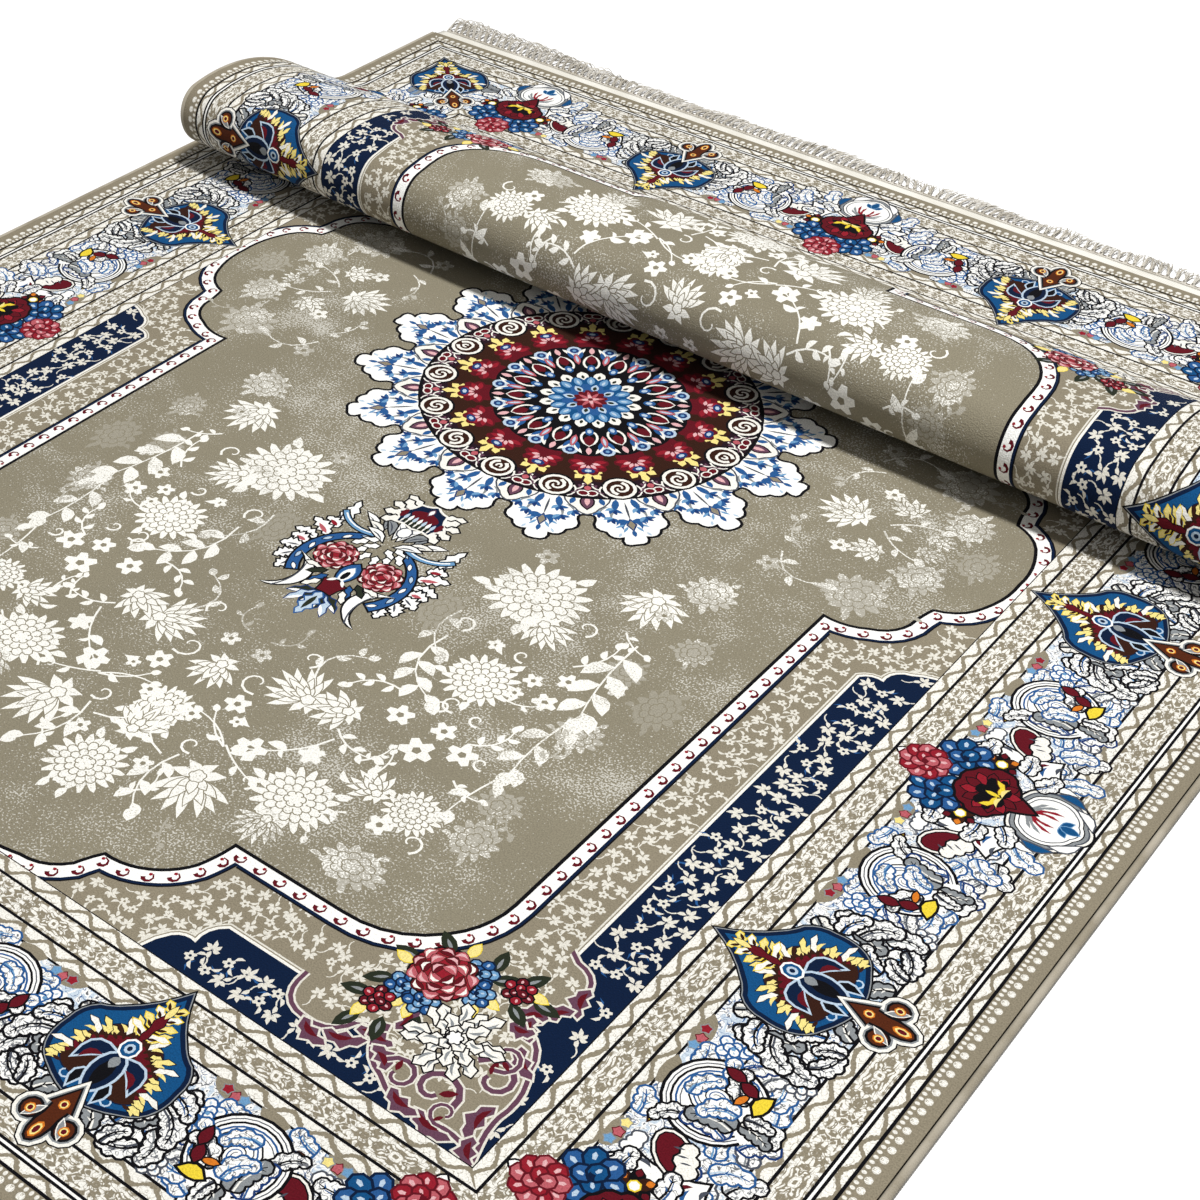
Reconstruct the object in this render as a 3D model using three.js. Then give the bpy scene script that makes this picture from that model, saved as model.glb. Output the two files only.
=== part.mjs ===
// A pile carpet laid flat, with its far part pushed over into one rolled fold across the width.
// Millimetres. +X runs across the width, +Y from the near end to the far end, +Z up from the floor.
import * as THREE from "three";
import { mergeVertices } from "three/addons/utils/BufferGeometryUtils.js";

// ---- driving dimensions ----
const CARPET_WIDTH = 2500; // over both bound edges
const CLOTH_LENGTH = 3460; // pile cloth, laid flat
const CLOTH_THICKNESS = 12; // backing and pile
const SEAT_GAP = 0.3; // between neighbouring pieces

const BINDING_WIDTH = 12; // overcast edge, across the carpet
const BINDING_HEIGHT = 11.4;
const BINDING_SIDES = 8;

const BAND_LENGTH = 38; // plain woven end band
const BAND_THICKNESS = 4;
const BAND_OVERHANG = 6; // the band stops this far inside the bound edge

const KNOT_BAR_LENGTH = 9; // row of knots that carries the tassels
const TASSEL_LENGTH = 62;
const TASSEL_WIDTH = 16;
const TASSEL_PITCH = 35;
const FRINGE_THICKNESS = 5;

// ---- the fold, as radii and angles of the cloth's middle layer ----
const FAR_END_Y = 1022; // far edge of the pile cloth from the pattern's centre, folded
const NOSE_Y = 226; // where the under layer starts to turn round the nose
const UNDER_BEND_RADIUS = 22.5;
const NOSE_RADIUS = 58.5;
const CROWN_RADIUS = 455;
const FOOT_RADIUS = 186;
const CROWN_START_ANGLE = 0.15; // heading above level where the nose becomes the crown
const SLOPE_ANGLE = 0.608; // the back slope's fall below level

// ---- how crooked the fold lies ----
const NOSE_SIDE_SHIFT = 71; // the rolled part has slid this far towards +X at the nose
const FAR_SIDE_SHIFT = 25.5; // and this far at the far end
const SHIFT_START_Y = 250; // the slide starts here, under the roll
const NOSE_SKEW = -0.0166; // the nose runs this much off square
const NOSE_BULGE = 10; // the middle of the nose stands this far forward

const ACROSS_STEPS = 10; // facets across the width

// ---- the middle layer's path from the near end to the far end ----

// Heights and lengths that close the path on the floor at both ends.
function solvePath() {
  const level = CLOTH_THICKNESS / 2;
  const underHeight = level + 2 * UNDER_BEND_RADIUS;
  const noseTurn = Math.PI - CROWN_START_ANGLE;
  const crownTurn = CROWN_START_ANGLE + SLOPE_ANGLE;
  const noseTop = underHeight + NOSE_RADIUS * (1 + Math.cos(CROWN_START_ANGLE));
  const crownFall = CROWN_RADIUS * (Math.cos(SLOPE_ANGLE) - Math.cos(CROWN_START_ANGLE));
  const footFall = FOOT_RADIUS * (1 - Math.cos(SLOPE_ANGLE));
  const slopeLength = (noseTop + crownFall - footFall - level) / Math.sin(SLOPE_ANGLE);
  const crownEndY =
    NOSE_Y -
    NOSE_RADIUS * Math.sin(CROWN_START_ANGLE) +
    CROWN_RADIUS * (Math.sin(SLOPE_ANGLE) + Math.sin(CROWN_START_ANGLE));
  const footEndY =
    crownEndY + slopeLength * Math.cos(SLOPE_ANGLE) + FOOT_RADIUS * Math.sin(SLOPE_ANGLE);
  const farFlat = FAR_END_Y - footEndY;
  const seen =
    NOSE_RADIUS * noseTurn +
    CROWN_RADIUS * crownTurn +
    slopeLength +
    FOOT_RADIUS * SLOPE_ANGLE +
    farFlat;
  // the near end lies where the unfolded cloth's would, half a length from the pattern's centre
  const hidden = CLOTH_LENGTH / 2 - seen - Math.PI * UNDER_BEND_RADIUS;
  const underBendY = (hidden + NOSE_Y) / 2;
  return { noseTurn, crownTurn, slopeLength, farFlat, underBendY };
}

const PATH = solvePath();

// One row for each stretch: length along the cloth, turn in radians (left is +), facets.
const STRETCHES = [
  { name: "near flat", length: CLOTH_LENGTH / 2 + SHIFT_START_Y, turn: 0, steps: 3 },
  { name: "under layer", length: PATH.underBendY - SHIFT_START_Y, turn: 0, steps: 4 },
  { name: "under bend", length: Math.PI * UNDER_BEND_RADIUS, turn: Math.PI, steps: 10 },
  { name: "middle layer", length: PATH.underBendY - NOSE_Y, turn: 0, steps: 4 },
  { name: "nose", length: NOSE_RADIUS * PATH.noseTurn, turn: -PATH.noseTurn, steps: 18 },
  { name: "crown", length: CROWN_RADIUS * PATH.crownTurn, turn: -PATH.crownTurn, steps: 12 },
  { name: "back slope", length: PATH.slopeLength, turn: 0, steps: 2 },
  { name: "foot", length: FOOT_RADIUS * SLOPE_ANGLE, turn: SLOPE_ANGLE, steps: 7 },
  { name: "far flat", length: PATH.farFlat, turn: 0, steps: 2 },
];

// The stations along the path: arc length s, place y z, heading.
function walkPath() {
  const stations = [{ s: 0, y: -CLOTH_LENGTH / 2, z: CLOTH_THICKNESS / 2, heading: 0 }];
  for (const stretch of STRETCHES) {
    const from = stations[stations.length - 1];
    for (let i = 1; i <= stretch.steps; i++) {
      const share = i / stretch.steps;
      const run = stretch.length * share;
      const turned = stretch.turn * share;
      // a chord of the arc, which is the run itself where nothing turns
      const chord = turned === 0 ? run : (2 * run * Math.sin(turned / 2)) / turned;
      const along = from.heading + turned / 2;
      stations.push({
        s: from.s + run,
        y: from.y + chord * Math.cos(along),
        z: from.z + chord * Math.sin(along),
        heading: from.heading + turned,
      });
    }
  }
  return stations;
}

const STATIONS = walkPath();

// Arc length at which a named stretch starts.
function startOf(name) {
  let s = 0;
  for (const stretch of STRETCHES) {
    if (stretch.name === name) return s;
    s += stretch.length;
  }
  return s;
}

const SHIFT_START_S = startOf("under layer");
const MIDDLE_START_S = startOf("middle layer");
const NOSE_START_S = startOf("nose");
const FAR_FLAT_S = startOf("far flat");

function smoothShare(from, to, s) {
  return THREE.MathUtils.smoothstep(s, from, to);
}

function linearShare(from, to, s) {
  return THREE.MathUtils.clamp((s - from) / (to - from), 0, 1);
}

// Sideways slide of the cloth towards +X at arc length s.
function sideShift(s) {
  const rise = NOSE_SIDE_SHIFT * smoothShare(SHIFT_START_S, NOSE_START_S, s);
  const ease = (FAR_SIDE_SHIFT - NOSE_SIDE_SHIFT) * linearShare(NOSE_START_S, FAR_FLAT_S, s);
  return rise + ease;
}

// How far the crooked nose moves the cloth along Y, at x across and arc length s.
function crookedness(x, s) {
  const half = CARPET_WIDTH / 2;
  const grow = smoothShare(MIDDLE_START_S, NOSE_START_S, s);
  const fade = 1 - linearShare(NOSE_START_S, FAR_FLAT_S, s);
  return grow * fade * (NOSE_SKEW * x - NOSE_BULGE * (1 - (x / half) ** 2));
}

// Folds a point of the flat cloth: x across, station index along, h above the middle layer.
function foldPoint(x, index, h) {
  const at = STATIONS[index];
  return new THREE.Vector3(
    x + sideShift(at.s),
    at.y - h * Math.sin(at.heading) + crookedness(x, at.s),
    at.z + h * Math.cos(at.heading),
  );
}

// ---- geometry helpers ----

// Keeps only positions and joins shared corners, so that the mesh is one closed body.
function closeUp(geometry) {
  geometry.deleteAttribute("normal");
  geometry.deleteAttribute("uv");
  const closed = mergeVertices(geometry, 1e-3);
  closed.computeVertexNormals();
  return closed;
}

// Bends a straight bar, one unit long in Y with a facet for each station, along the folded path.
function bendAlongPath(bar) {
  const last = STATIONS.length - 1;
  const place = bar.attributes.position;
  for (let i = 0; i < place.count; i++) {
    const index = Math.round((place.getY(i) + 0.5) * last);
    const folded = foldPoint(place.getX(i), index, place.getZ(i));
    place.setXYZ(i, folded.x, folded.y, folded.z);
  }
  return closeUp(bar);
}

function finish(colour, roughness) {
  return new THREE.MeshStandardMaterial({ color: colour, roughness, metalness: 0 });
}

function addPiece(group, name, geometry, material) {
  const piece = new THREE.Mesh(geometry, material);
  piece.name = name;
  group.add(piece);
  return piece;
}

// ---- the pieces ----

const CLOTH_WIDTH = CARPET_WIDTH - 2 * (BINDING_WIDTH + SEAT_GAP);

function pileCloth() {
  const along = STATIONS.length - 1;
  return bendAlongPath(
    new THREE.BoxGeometry(CLOTH_WIDTH, 1, CLOTH_THICKNESS, ACROSS_STEPS, along, 1),
  );
}

// A rounded bead that runs down one long edge, side is -1 or +1.
function edgeBinding(side) {
  const along = STATIONS.length - 1;
  const bead = new THREE.CylinderGeometry(0.5, 0.5, 1, BINDING_SIDES, along);
  bead.rotateY(Math.PI / BINDING_SIDES); // flats at the sides, top and bottom
  const flat = Math.cos(Math.PI / BINDING_SIDES); // the flats stand inside the round
  bead.scale(BINDING_WIDTH / flat, 1, BINDING_HEIGHT / flat);
  bead.translate(side * (CARPET_WIDTH - BINDING_WIDTH) * 0.5, 0, 0);
  return bendAlongPath(bead);
}

function endBand() {
  const width = CARPET_WIDTH - 2 * BAND_OVERHANG;
  return closeUp(new THREE.BoxGeometry(width, BAND_LENGTH, BAND_THICKNESS));
}

// One comb: a bar of knots with the tassels as its teeth, pointing towards +Y.
function fringeComb() {
  const width = CARPET_WIDTH - 2 * BAND_OVERHANG;
  const teeth = Math.floor((width - TASSEL_WIDTH) / TASSEL_PITCH) + 1;
  const first = (-(teeth - 1) * TASSEL_PITCH) / 2;
  const outline = new THREE.Shape();
  outline.moveTo(width / 2, KNOT_BAR_LENGTH);
  for (let i = teeth - 1; i >= 0; i--) {
    const x = first + i * TASSEL_PITCH;
    outline.lineTo(x + TASSEL_WIDTH / 2, KNOT_BAR_LENGTH);
    outline.lineTo(x + TASSEL_WIDTH / 2, KNOT_BAR_LENGTH + TASSEL_LENGTH);
    outline.lineTo(x - TASSEL_WIDTH / 2, KNOT_BAR_LENGTH + TASSEL_LENGTH);
    outline.lineTo(x - TASSEL_WIDTH / 2, KNOT_BAR_LENGTH);
  }
  outline.lineTo(-width / 2, KNOT_BAR_LENGTH);
  outline.lineTo(-width / 2, 0);
  outline.lineTo(width / 2, 0);
  return closeUp(
    new THREE.ExtrudeGeometry(outline, { depth: FRINGE_THICKNESS, bevelEnabled: false }),
  );
}

// ---- the carpet, with its origin at the middle of its footprint ----

const FRINGE_REACH = SEAT_GAP + BAND_LENGTH + SEAT_GAP; // from the cloth's end to the knots
const TIP_REACH = FRINGE_REACH + KNOT_BAR_LENGTH + TASSEL_LENGTH;
const NEAR_TIP_Y = -CLOTH_LENGTH / 2 - TIP_REACH;
const FAR_TIP_Y = FAR_END_Y + TIP_REACH;

// Band and fringe of one end: its name, where the cloth ends, which way out, its sideways slide.
function addEnd(group, name, edgeY, outward, shift) {
  const bandMaterial = finish(0xe9e6df, 0.85);
  const band = addPiece(group, `end_band_${name}`, endBand(), bandMaterial);
  const bandY = edgeY + outward * (SEAT_GAP + BAND_LENGTH / 2);
  band.position.set(shift, bandY, BAND_THICKNESS / 2);
  const fringe = addPiece(group, `fringe_${name}`, fringeComb(), finish(0xe4dfd3, 0.9));
  fringe.position.set(shift, edgeY + outward * FRINGE_REACH, 0);
  if (outward < 0) fringe.rotation.z = Math.PI;
}

const carpet = new THREE.Group();
addPiece(carpet, "pile_cloth", pileCloth(), finish(0x93897a, 0.95));
addPiece(carpet, "edge_binding_left", edgeBinding(-1), finish(0x8d7f6c, 0.8));
addPiece(carpet, "edge_binding_right", edgeBinding(1), finish(0x8d7f6c, 0.8));
addEnd(carpet, "near", -CLOTH_LENGTH / 2, -1, 0);
addEnd(carpet, "far", FAR_END_Y, 1, FAR_SIDE_SHIFT);
carpet.position.set(-NOSE_SIDE_SHIFT / 2, -(NEAR_TIP_Y + FAR_TIP_Y) / 2, 0);

export default carpet;
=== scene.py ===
import logging
import math
from dataclasses import dataclass, field
from enum import Enum
from typing import Any, Callable, Sequence

import bpy
import numpy as np
from mathutils import Euler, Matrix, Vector
from mathutils.geometry import delaunay_2d_cdt


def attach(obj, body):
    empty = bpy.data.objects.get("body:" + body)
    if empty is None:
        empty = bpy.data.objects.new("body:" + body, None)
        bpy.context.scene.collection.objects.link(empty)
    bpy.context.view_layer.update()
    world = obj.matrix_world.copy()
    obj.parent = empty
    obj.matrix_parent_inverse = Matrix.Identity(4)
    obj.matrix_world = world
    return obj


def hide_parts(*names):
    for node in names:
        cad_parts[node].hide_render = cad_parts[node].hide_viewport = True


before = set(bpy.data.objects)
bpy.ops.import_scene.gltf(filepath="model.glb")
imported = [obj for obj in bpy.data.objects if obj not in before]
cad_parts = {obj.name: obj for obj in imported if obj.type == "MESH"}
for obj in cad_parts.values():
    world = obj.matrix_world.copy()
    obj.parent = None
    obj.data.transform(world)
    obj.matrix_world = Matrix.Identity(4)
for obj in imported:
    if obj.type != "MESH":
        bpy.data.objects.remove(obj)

LOG = logging.getLogger("carpet")

# The design card: one unit is this many metres across the loom and along it.
UNIT_ACROSS = 1.06202
UNIT_ALONG = 0.98940

# The cloth and its edges, in metres.
CARPET_WIDTH = 2.5
CLOTH_LENGTH = 3.46
CLOTH_THICKNESS = 0.012
BINDING_WIDTH = 0.012
SEAT_GAP = 0.0003
CLOTH_WIDTH = CARPET_WIDTH - 2 * (BINDING_WIDTH + SEAT_GAP)
BAND_LENGTH = 0.038
BAND_THICKNESS = 0.004
BAND_OVERHANG = 0.006
KNOT_BAR_LENGTH = 0.009
TASSEL_LENGTH = 0.062

EDGE_TOLERANCE = 1e-5
LINE_WEIGHT = 1.35  # how bold outlines are drawn


class Ink(Enum):
    """Dyed yarns, as sRGB values from 0 to 255."""

    FIELD = (134, 127, 108)
    GUARD = (136, 127, 108)
    IVORY = (234, 231, 222)
    WHITE = (243, 242, 237)
    CREAM = (236, 234, 226)
    PALE = (216, 212, 200)
    BLACK = (9, 8, 13)
    NAVY = (5, 25, 54)
    INDIGO = (24, 52, 104)
    ROYAL = (14, 74, 122)
    BLUE = (38, 84, 138)
    SKY = (104, 148, 186)
    ICE = (178, 196, 212)
    GREY = (132, 136, 138)
    SLATE = (70, 74, 84)
    MAROON = (92, 14, 26)
    MAUVE = (96, 62, 80)
    PLUM = (34, 16, 26)
    RED = (140, 26, 40)
    ROSE = (178, 88, 96)
    PINK = (216, 168, 170)
    BROWN = (78, 34, 14)
    COCOA = (50, 24, 14)
    ORANGE = (206, 116, 34)
    YELLOW = (232, 214, 132)
    GOLD = (226, 200, 56)
    MOSS = (36, 42, 30)
    COTTON = (222, 217, 207)
    STRAW = (178, 170, 154)
    # painted shadow: the dark in the gaps between the fringe's knots
    KNOT_SHADOW = (92, 78, 64)

    def linear(self) -> tuple[float, float, float]:
        """Gives the colour in scene-linear values."""
        return tuple(((c / 255 + 0.055) / 1.055) ** 2.4 if c > 10 else c / 255 / 12.92 for c in self.value)


class Lace(Enum):
    """Small all-over weaves that the pile's finish adds on a ground."""

    NONE = 0
    WIDE = 1
    NARROW = 2
    DOTS = 3
    SCROLL = 4
    MIST = 5
    ETCH = 6


# ---------------------------------------------------------------- the folded cloth


def smooth_share(low: float, high: float, s: np.ndarray) -> np.ndarray:
    """Rises smoothly from 0 at low to 1 at high."""
    t = np.clip((s - low) / (high - low), 0, 1)
    return t * t * (3 - 2 * t)


def linear_share(low: float, high: float, s: np.ndarray) -> np.ndarray:
    """Rises evenly from 0 at low to 1 at high."""
    return np.clip((s - low) / (high - low), 0, 1)


@dataclass
class FoldedCloth:
    """The middle layer's path over the floor, under itself and back over in one rolled fold."""

    far_end_y: float = 1.022
    nose_y: float = 0.226
    under_bend_radius: float = 0.0225
    nose_radius: float = 0.0585
    crown_radius: float = 0.455
    foot_radius: float = 0.186
    crown_start_angle: float = 0.15
    slope_angle: float = 0.608
    nose_side_shift: float = 0.071
    far_side_shift: float = 0.0255
    shift_start_y: float = 0.25
    nose_skew: float = -0.0166
    nose_bulge: float = 0.010
    seen_under_edge: float = 0.796  # pattern distance at the nose's start
    seen_crown: tuple[float, float] = (0.334, 1.0876)  # face run past the nose's start, pattern distance
    seen_foot: float = 1.4324  # pattern distance where the far flat starts
    names: list[str] = field(init=False)
    starts: np.ndarray = field(init=False)
    steps: list[int] = field(init=False)
    turns: np.ndarray = field(init=False)
    knots: np.ndarray = field(init=False)  # each stretch's first place and heading
    offset: np.ndarray = field(init=False)
    run: np.ndarray = field(init=False)  # distances along the cloth that card gives as pattern distances
    card: np.ndarray = field(init=False)

    def __post_init__(self) -> None:
        """Solves the path so that both ends lie on the floor."""
        level = CLOTH_THICKNESS / 2
        under = level + 2 * self.under_bend_radius
        nose_turn = math.pi - self.crown_start_angle
        crown_turn = self.crown_start_angle + self.slope_angle
        top = under + self.nose_radius * (1 + math.cos(self.crown_start_angle))
        fall = self.crown_radius * (math.cos(self.slope_angle) - math.cos(self.crown_start_angle))
        foot_fall = self.foot_radius * (1 - math.cos(self.slope_angle))
        slope = (top + fall - foot_fall - level) / math.sin(self.slope_angle)
        crown_end = self.nose_y - self.nose_radius * math.sin(self.crown_start_angle) + self.crown_radius * (
            math.sin(self.slope_angle) + math.sin(self.crown_start_angle))
        foot_end = crown_end + slope * math.cos(self.slope_angle)
        foot_end += self.foot_radius * math.sin(self.slope_angle)
        flat = self.far_end_y - foot_end
        seen = self.nose_radius * nose_turn + self.crown_radius * crown_turn + slope
        seen += self.foot_radius * self.slope_angle + flat
        hidden = CLOTH_LENGTH / 2 - seen - math.pi * self.under_bend_radius
        bend_y = (hidden + self.nose_y) / 2
        rows = [
            ("near flat", CLOTH_LENGTH / 2 + self.shift_start_y, 0.0, 1),
            ("under layer", bend_y - self.shift_start_y, 0.0, 3),
            ("under bend", math.pi * self.under_bend_radius, math.pi, 6),
            ("middle layer", bend_y - self.nose_y, 0.0, 3),
            ("nose", self.nose_radius * nose_turn, -nose_turn, 16),
            ("crown", self.crown_radius * crown_turn, -crown_turn, 9),
            ("back slope", slope, 0.0, 2),
            ("foot", self.foot_radius * self.slope_angle, self.slope_angle, 6),
            ("far flat", flat, 0.0, 1),
        ]
        self.names = [r[0] for r in rows]
        self.steps = [r[3] for r in rows]
        self.starts = np.cumsum([0.0] + [r[1] for r in rows])
        self.turns = np.array([r[2] for r in rows])
        y, z, heading = -CLOTH_LENGTH / 2, level, 0.0
        knots = []
        for _, length, turn, _ in rows:
            knots.append((y, z, heading))
            chord = length if turn == 0 else 2 * length * math.sin(turn / 2) / turn
            y += chord * math.cos(heading + turn / 2)
            z += chord * math.sin(heading + turn / 2)
            heading += turn
        self.knots = np.array(knots)
        self.offset = np.array([-self.nose_side_shift / 2,
                                (CLOTH_LENGTH / 2 - self.far_end_y) / 2, 0.0])
        nose = self.start("nose")
        half = CLOTH_THICKNESS / 2
        nose_end = self.start("crown")
        face_nose = (self.nose_radius + half) * nose_turn
        crown_face = (self.crown_radius + half) / self.crown_radius
        to_crown = nose_end + (self.seen_crown[0] - face_nose) / crown_face
        self.run = np.array([0.0, self.start("under layer"), nose, to_crown, self.start("far flat"),
                             CLOTH_LENGTH])
        middle = CLOTH_LENGTH / 2
        self.card = np.array([-middle, self.shift_start_y, self.seen_under_edge, self.seen_crown[1],
                              self.seen_foot, middle])

    def start(self, name: str) -> float:
        """Gives the distance along the cloth at which a named stretch starts."""
        return float(self.starts[self.names.index(name)])

    def along(self, v: np.ndarray) -> np.ndarray:
        """Turns pattern distance from the centre into distance along the cloth."""
        return np.interp(v, self.card, self.run)

    def rows(self) -> np.ndarray:
        """Gives the distances along the cloth at which the mesh has a row of corners.

        Returns:
            The distances, from the near end to the far end.
        """
        out = [0.0]
        for i, n in enumerate(self.steps):
            out += list(np.linspace(self.starts[i], self.starts[i + 1], n + 1)[1:])
        return np.array(out)

    def card_rows(self) -> np.ndarray:
        """Gives the same rows as pattern distances, with the kinks of the pattern's stretch."""
        s = np.unique(np.round(np.concatenate([self.rows(), self.run]), 6))
        return np.interp(s, self.run, self.card)

    def place(self, x: np.ndarray, s: np.ndarray, h: np.ndarray | float) -> tuple[np.ndarray, np.ndarray]:
        """Folds points of the flat cloth.

        Args:
            x: distance across, from the middle.
            s: distance along the cloth from its near end.
            h: height above the middle layer, towards the pile.

        Returns:
            The places and the pile side's normals, one row for each point.
        """
        x, s = np.asarray(x, float), np.asarray(s, float)
        k = np.clip(np.searchsorted(self.starts, s, side="right") - 1, 0, len(self.turns) - 1)
        run = s - self.starts[k]
        turned = self.turns[k] * run / (self.starts[k + 1] - self.starts[k])
        chord = run * np.sinc(turned / 2 / np.pi)
        heading = self.knots[k, 2]
        along = heading + turned / 2
        y = self.knots[k, 0] + chord * np.cos(along)
        z = self.knots[k, 1] + chord * np.sin(along)
        heading = heading + turned
        rise = self.nose_side_shift * smooth_share(self.start("under layer"), self.start("nose"), s)
        ease = linear_share(self.start("nose"), self.start("far flat"), s)
        shift = rise + (self.far_side_shift - self.nose_side_shift) * ease
        grow = smooth_share(self.start("middle layer"), self.start("nose"), s)
        half = CARPET_WIDTH / 2
        crooked = grow * (1 - ease) * (self.nose_skew * x - self.nose_bulge * (1 - (x / half) ** 2))
        out = np.stack([x + shift, y - h * np.sin(heading) + crooked, z + h * np.cos(heading)], -1)
        normal = np.stack([np.zeros_like(x), -np.sin(heading), np.cos(heading)], -1)
        return out + self.offset, normal


# ---------------------------------------------------------------- outlines on the card

Outline = np.ndarray


def points(*pairs: Sequence[float]) -> Outline:
    """Makes an outline of its corners."""
    return np.array(pairs, float)


def chain(nodes: Sequence[Sequence[float]], bulges: Sequence[float] | float, steps: int,
          closed: bool = True) -> Outline:
    """Joins nodes by curved runs.

    Args:
        nodes: the corners, in order.
        bulges: each run's height over its chord, towards the right of travel.
        steps: pieces in each curved run.
        closed: whether the last node joins the first.

    Returns:
        The points of the line.
    """
    at = np.array(nodes, float)
    after = np.roll(at, -1, 0) if closed else at[1:]
    at = at if closed else at[:-1]
    bulge = np.broadcast_to(np.array(bulges, float), len(at))
    out = []
    for a, b, c in zip(at, after, bulge):
        t = np.linspace(0, 1, (steps if c else 1), endpoint=False)[:, None]
        d = b - a
        out.append(a + d * t + np.array([d[1], -d[0]]) * (4 * c * t * (1 - t)))
    if not closed:
        out.append(np.array(nodes[-1], float)[None])
    return np.concatenate(out)


def blossom(petals: int, depth: float, steps: int = 4, turn: float = 0.0) -> Outline:
    """Makes a round of unit radius with scalloped petals.

    Args:
        petals: how many petals.
        depth: how deep the notches between them are.
        steps: points in each petal.
        turn: degrees to turn the first petal by.

    Returns:
        The closed outline.
    """
    n = petals * steps
    a = np.arange(n) / n * 2 * np.pi
    r = 1 - depth + depth * np.abs(np.sin(petals * a / 2)) ** 0.6
    a = a + math.radians(turn)
    return np.stack([r * np.cos(a), r * np.sin(a)], -1)


def oval(n: int, long: float = 1.0, wide: float = 1.0) -> Outline:
    """Makes an oval, long in X."""
    a = np.arange(n) / n * 2 * np.pi
    return np.stack([long * np.cos(a), wide * np.sin(a)], -1)


def leaf(length: float, width: float, bend: float = 0.0, teeth: int = 0, steps: int = 4,
         blunt: float = 0.8) -> Outline:
    """Makes a leaf that points along +X from the origin.

    Args:
        length: from stalk to tip.
        width: across its widest part.
        bend: sideways bow of its spine, over its length.
        teeth: number of teeth down each side.
        steps: points down each side of a smooth leaf.
        blunt: under 1 for a fuller leaf.

    Returns:
        The leaf's closed outline.
    """
    t = np.linspace(0, 1, (teeth * 2 if teeth else steps) + 1)
    half = width / 2 * np.sin(np.pi * t ** 0.9) ** blunt
    if teeth:
        half = half * np.where(np.arange(len(t)) % 2, 1.25, 0.6)
    spine = np.stack([length * t, bend * length * 4 * t * (1 - t)], -1)
    side = np.stack([np.zeros_like(t), half], -1)
    return np.concatenate([spine - side, (spine + side)[-2:0:-1]])


def bow(length: float, bend: float, steps: int) -> Outline:
    """Makes an open line along +X that turns steadily by a bend, in radians.

    Args:
        length: the line's length.
        bend: the whole turn.
        steps: how many points.

    Returns:
        The points of the line.
    """
    t = np.linspace(0, 1, steps)
    bend = bend or 1e-3
    return np.stack([np.sin(bend * t), 1 - np.cos(bend * t)], -1) * (length / bend)


def frond(length: float, width: float, bend: float, lobes: int) -> Outline:
    """Makes a leaf with round lobes down both sides of a bowed spine.

    Args:
        length: from stalk to tip.
        width: across its widest part.
        bend: how far its spine turns, in radians.
        lobes: how many lobes down each side.

    Returns:
        The leaf's closed outline.
    """
    spine = bow(length, bend, lobes + 1)
    t = np.linspace(0, 1, lobes + 1)
    normal = np.stack([-np.sin(bend * t), np.cos(bend * t)], -1)
    half = (width / 2 * np.sin(np.pi * (0.08 + 0.92 * t ** 0.8)) ** 0.7)[:, None]
    nodes = np.concatenate([spine - normal * half, (spine + normal * half)[-2::-1]])
    return chain(nodes, [0.32] * (2 * lobes) + [0.0], 3)


def ribbon(line: Outline, start: float, end: float) -> Outline:
    """Gives a line a width that goes from start to end.

    Args:
        line: the middle line.
        start: the width at its start.
        end: the width at its end.

    Returns:
        The closed outline.
    """
    d = np.gradient(line, axis=0)
    n = np.stack([-d[:, 1], d[:, 0]], -1) / np.maximum(np.linalg.norm(d, axis=1), 1e-9)[:, None]
    w = np.linspace(start, end, len(line))[:, None] / 2
    return np.concatenate([line - n * w, (line + n * w)[::-1]])


def spiral(outer: float, inner: float, turns: float, steps: int, start: float = 0.0) -> Outline:
    """Makes an open line that curls inwards, its angles in degrees.

    Args:
        outer: the radius at its start.
        inner: the radius at its end.
        turns: how many turns.
        steps: how many points.
        start: the angle at its start.

    Returns:
        The points of the line.
    """
    t = np.linspace(0, 1, steps)
    a = math.radians(start) + t * turns * 2 * np.pi
    r = outer + (inner - outer) * t
    return np.stack([r * np.cos(a), r * np.sin(a)], -1)


def grown(outline: Outline, by: float) -> Outline:
    """Moves a closed outline outwards by a distance on the card.

    Args:
        outline: the closed outline.
        by: the distance, minus for inwards.

    Returns:
        The moved outline.
    """
    a = outline
    area = float(np.sum(a[:, 0] * np.roll(a[:, 1], -1) - np.roll(a[:, 0], -1) * a[:, 1]))
    before, after = a - np.roll(a, 1, 0), np.roll(a, -1, 0) - a
    before /= np.maximum(np.linalg.norm(before, axis=1), 1e-9)[:, None]
    after /= np.maximum(np.linalg.norm(after, axis=1), 1e-9)[:, None]
    n = np.stack([before[:, 1] + after[:, 1], -before[:, 0] - after[:, 0]], -1)
    size = np.maximum(np.linalg.norm(n, axis=1), 0.9)[:, None]
    return a + n / size / size * 2 * by * (1 if area > 0 else -1)


@dataclass(frozen=True)
class Spot:
    """A place on the card: a 2 by 3 matrix that takes a motif's own points to it."""

    matrix: tuple[tuple[float, float, float], tuple[float, float, float]] = ((1, 0, 0), (0, 1, 0))

    def sub(self, x: float, y: float, turn: float = 0.0, size: float = 1.0, squash: float = 1.0,
            flip: bool = False) -> "Spot":
        """Gives a place within this one.

        Args:
            x: place along this spot's X.
            y: place along this spot's Y.
            turn: degrees to turn by, left is +.
            size: scale of the motif.
            squash: extra scale across the motif.
            flip: whether the motif is mirrored across its own X.

        Returns:
            The new spot.
        """
        c, s = math.cos(math.radians(turn)) * size, math.sin(math.radians(turn)) * size
        k = squash * (-1 if flip else 1)
        own = np.array([[c, -s * k, x], [s, c * k, y], [0, 0, 1]])
        m = np.vstack([np.array(self.matrix), [0, 0, 1]]) @ own
        return Spot(tuple(map(tuple, m[:2].tolist())))

    def at(self, outline: Outline) -> Outline:
        """Puts a motif's outline in its place on the card."""
        m = np.array(self.matrix)
        return outline @ m[:, :2].T + m[:, 2]


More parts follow.
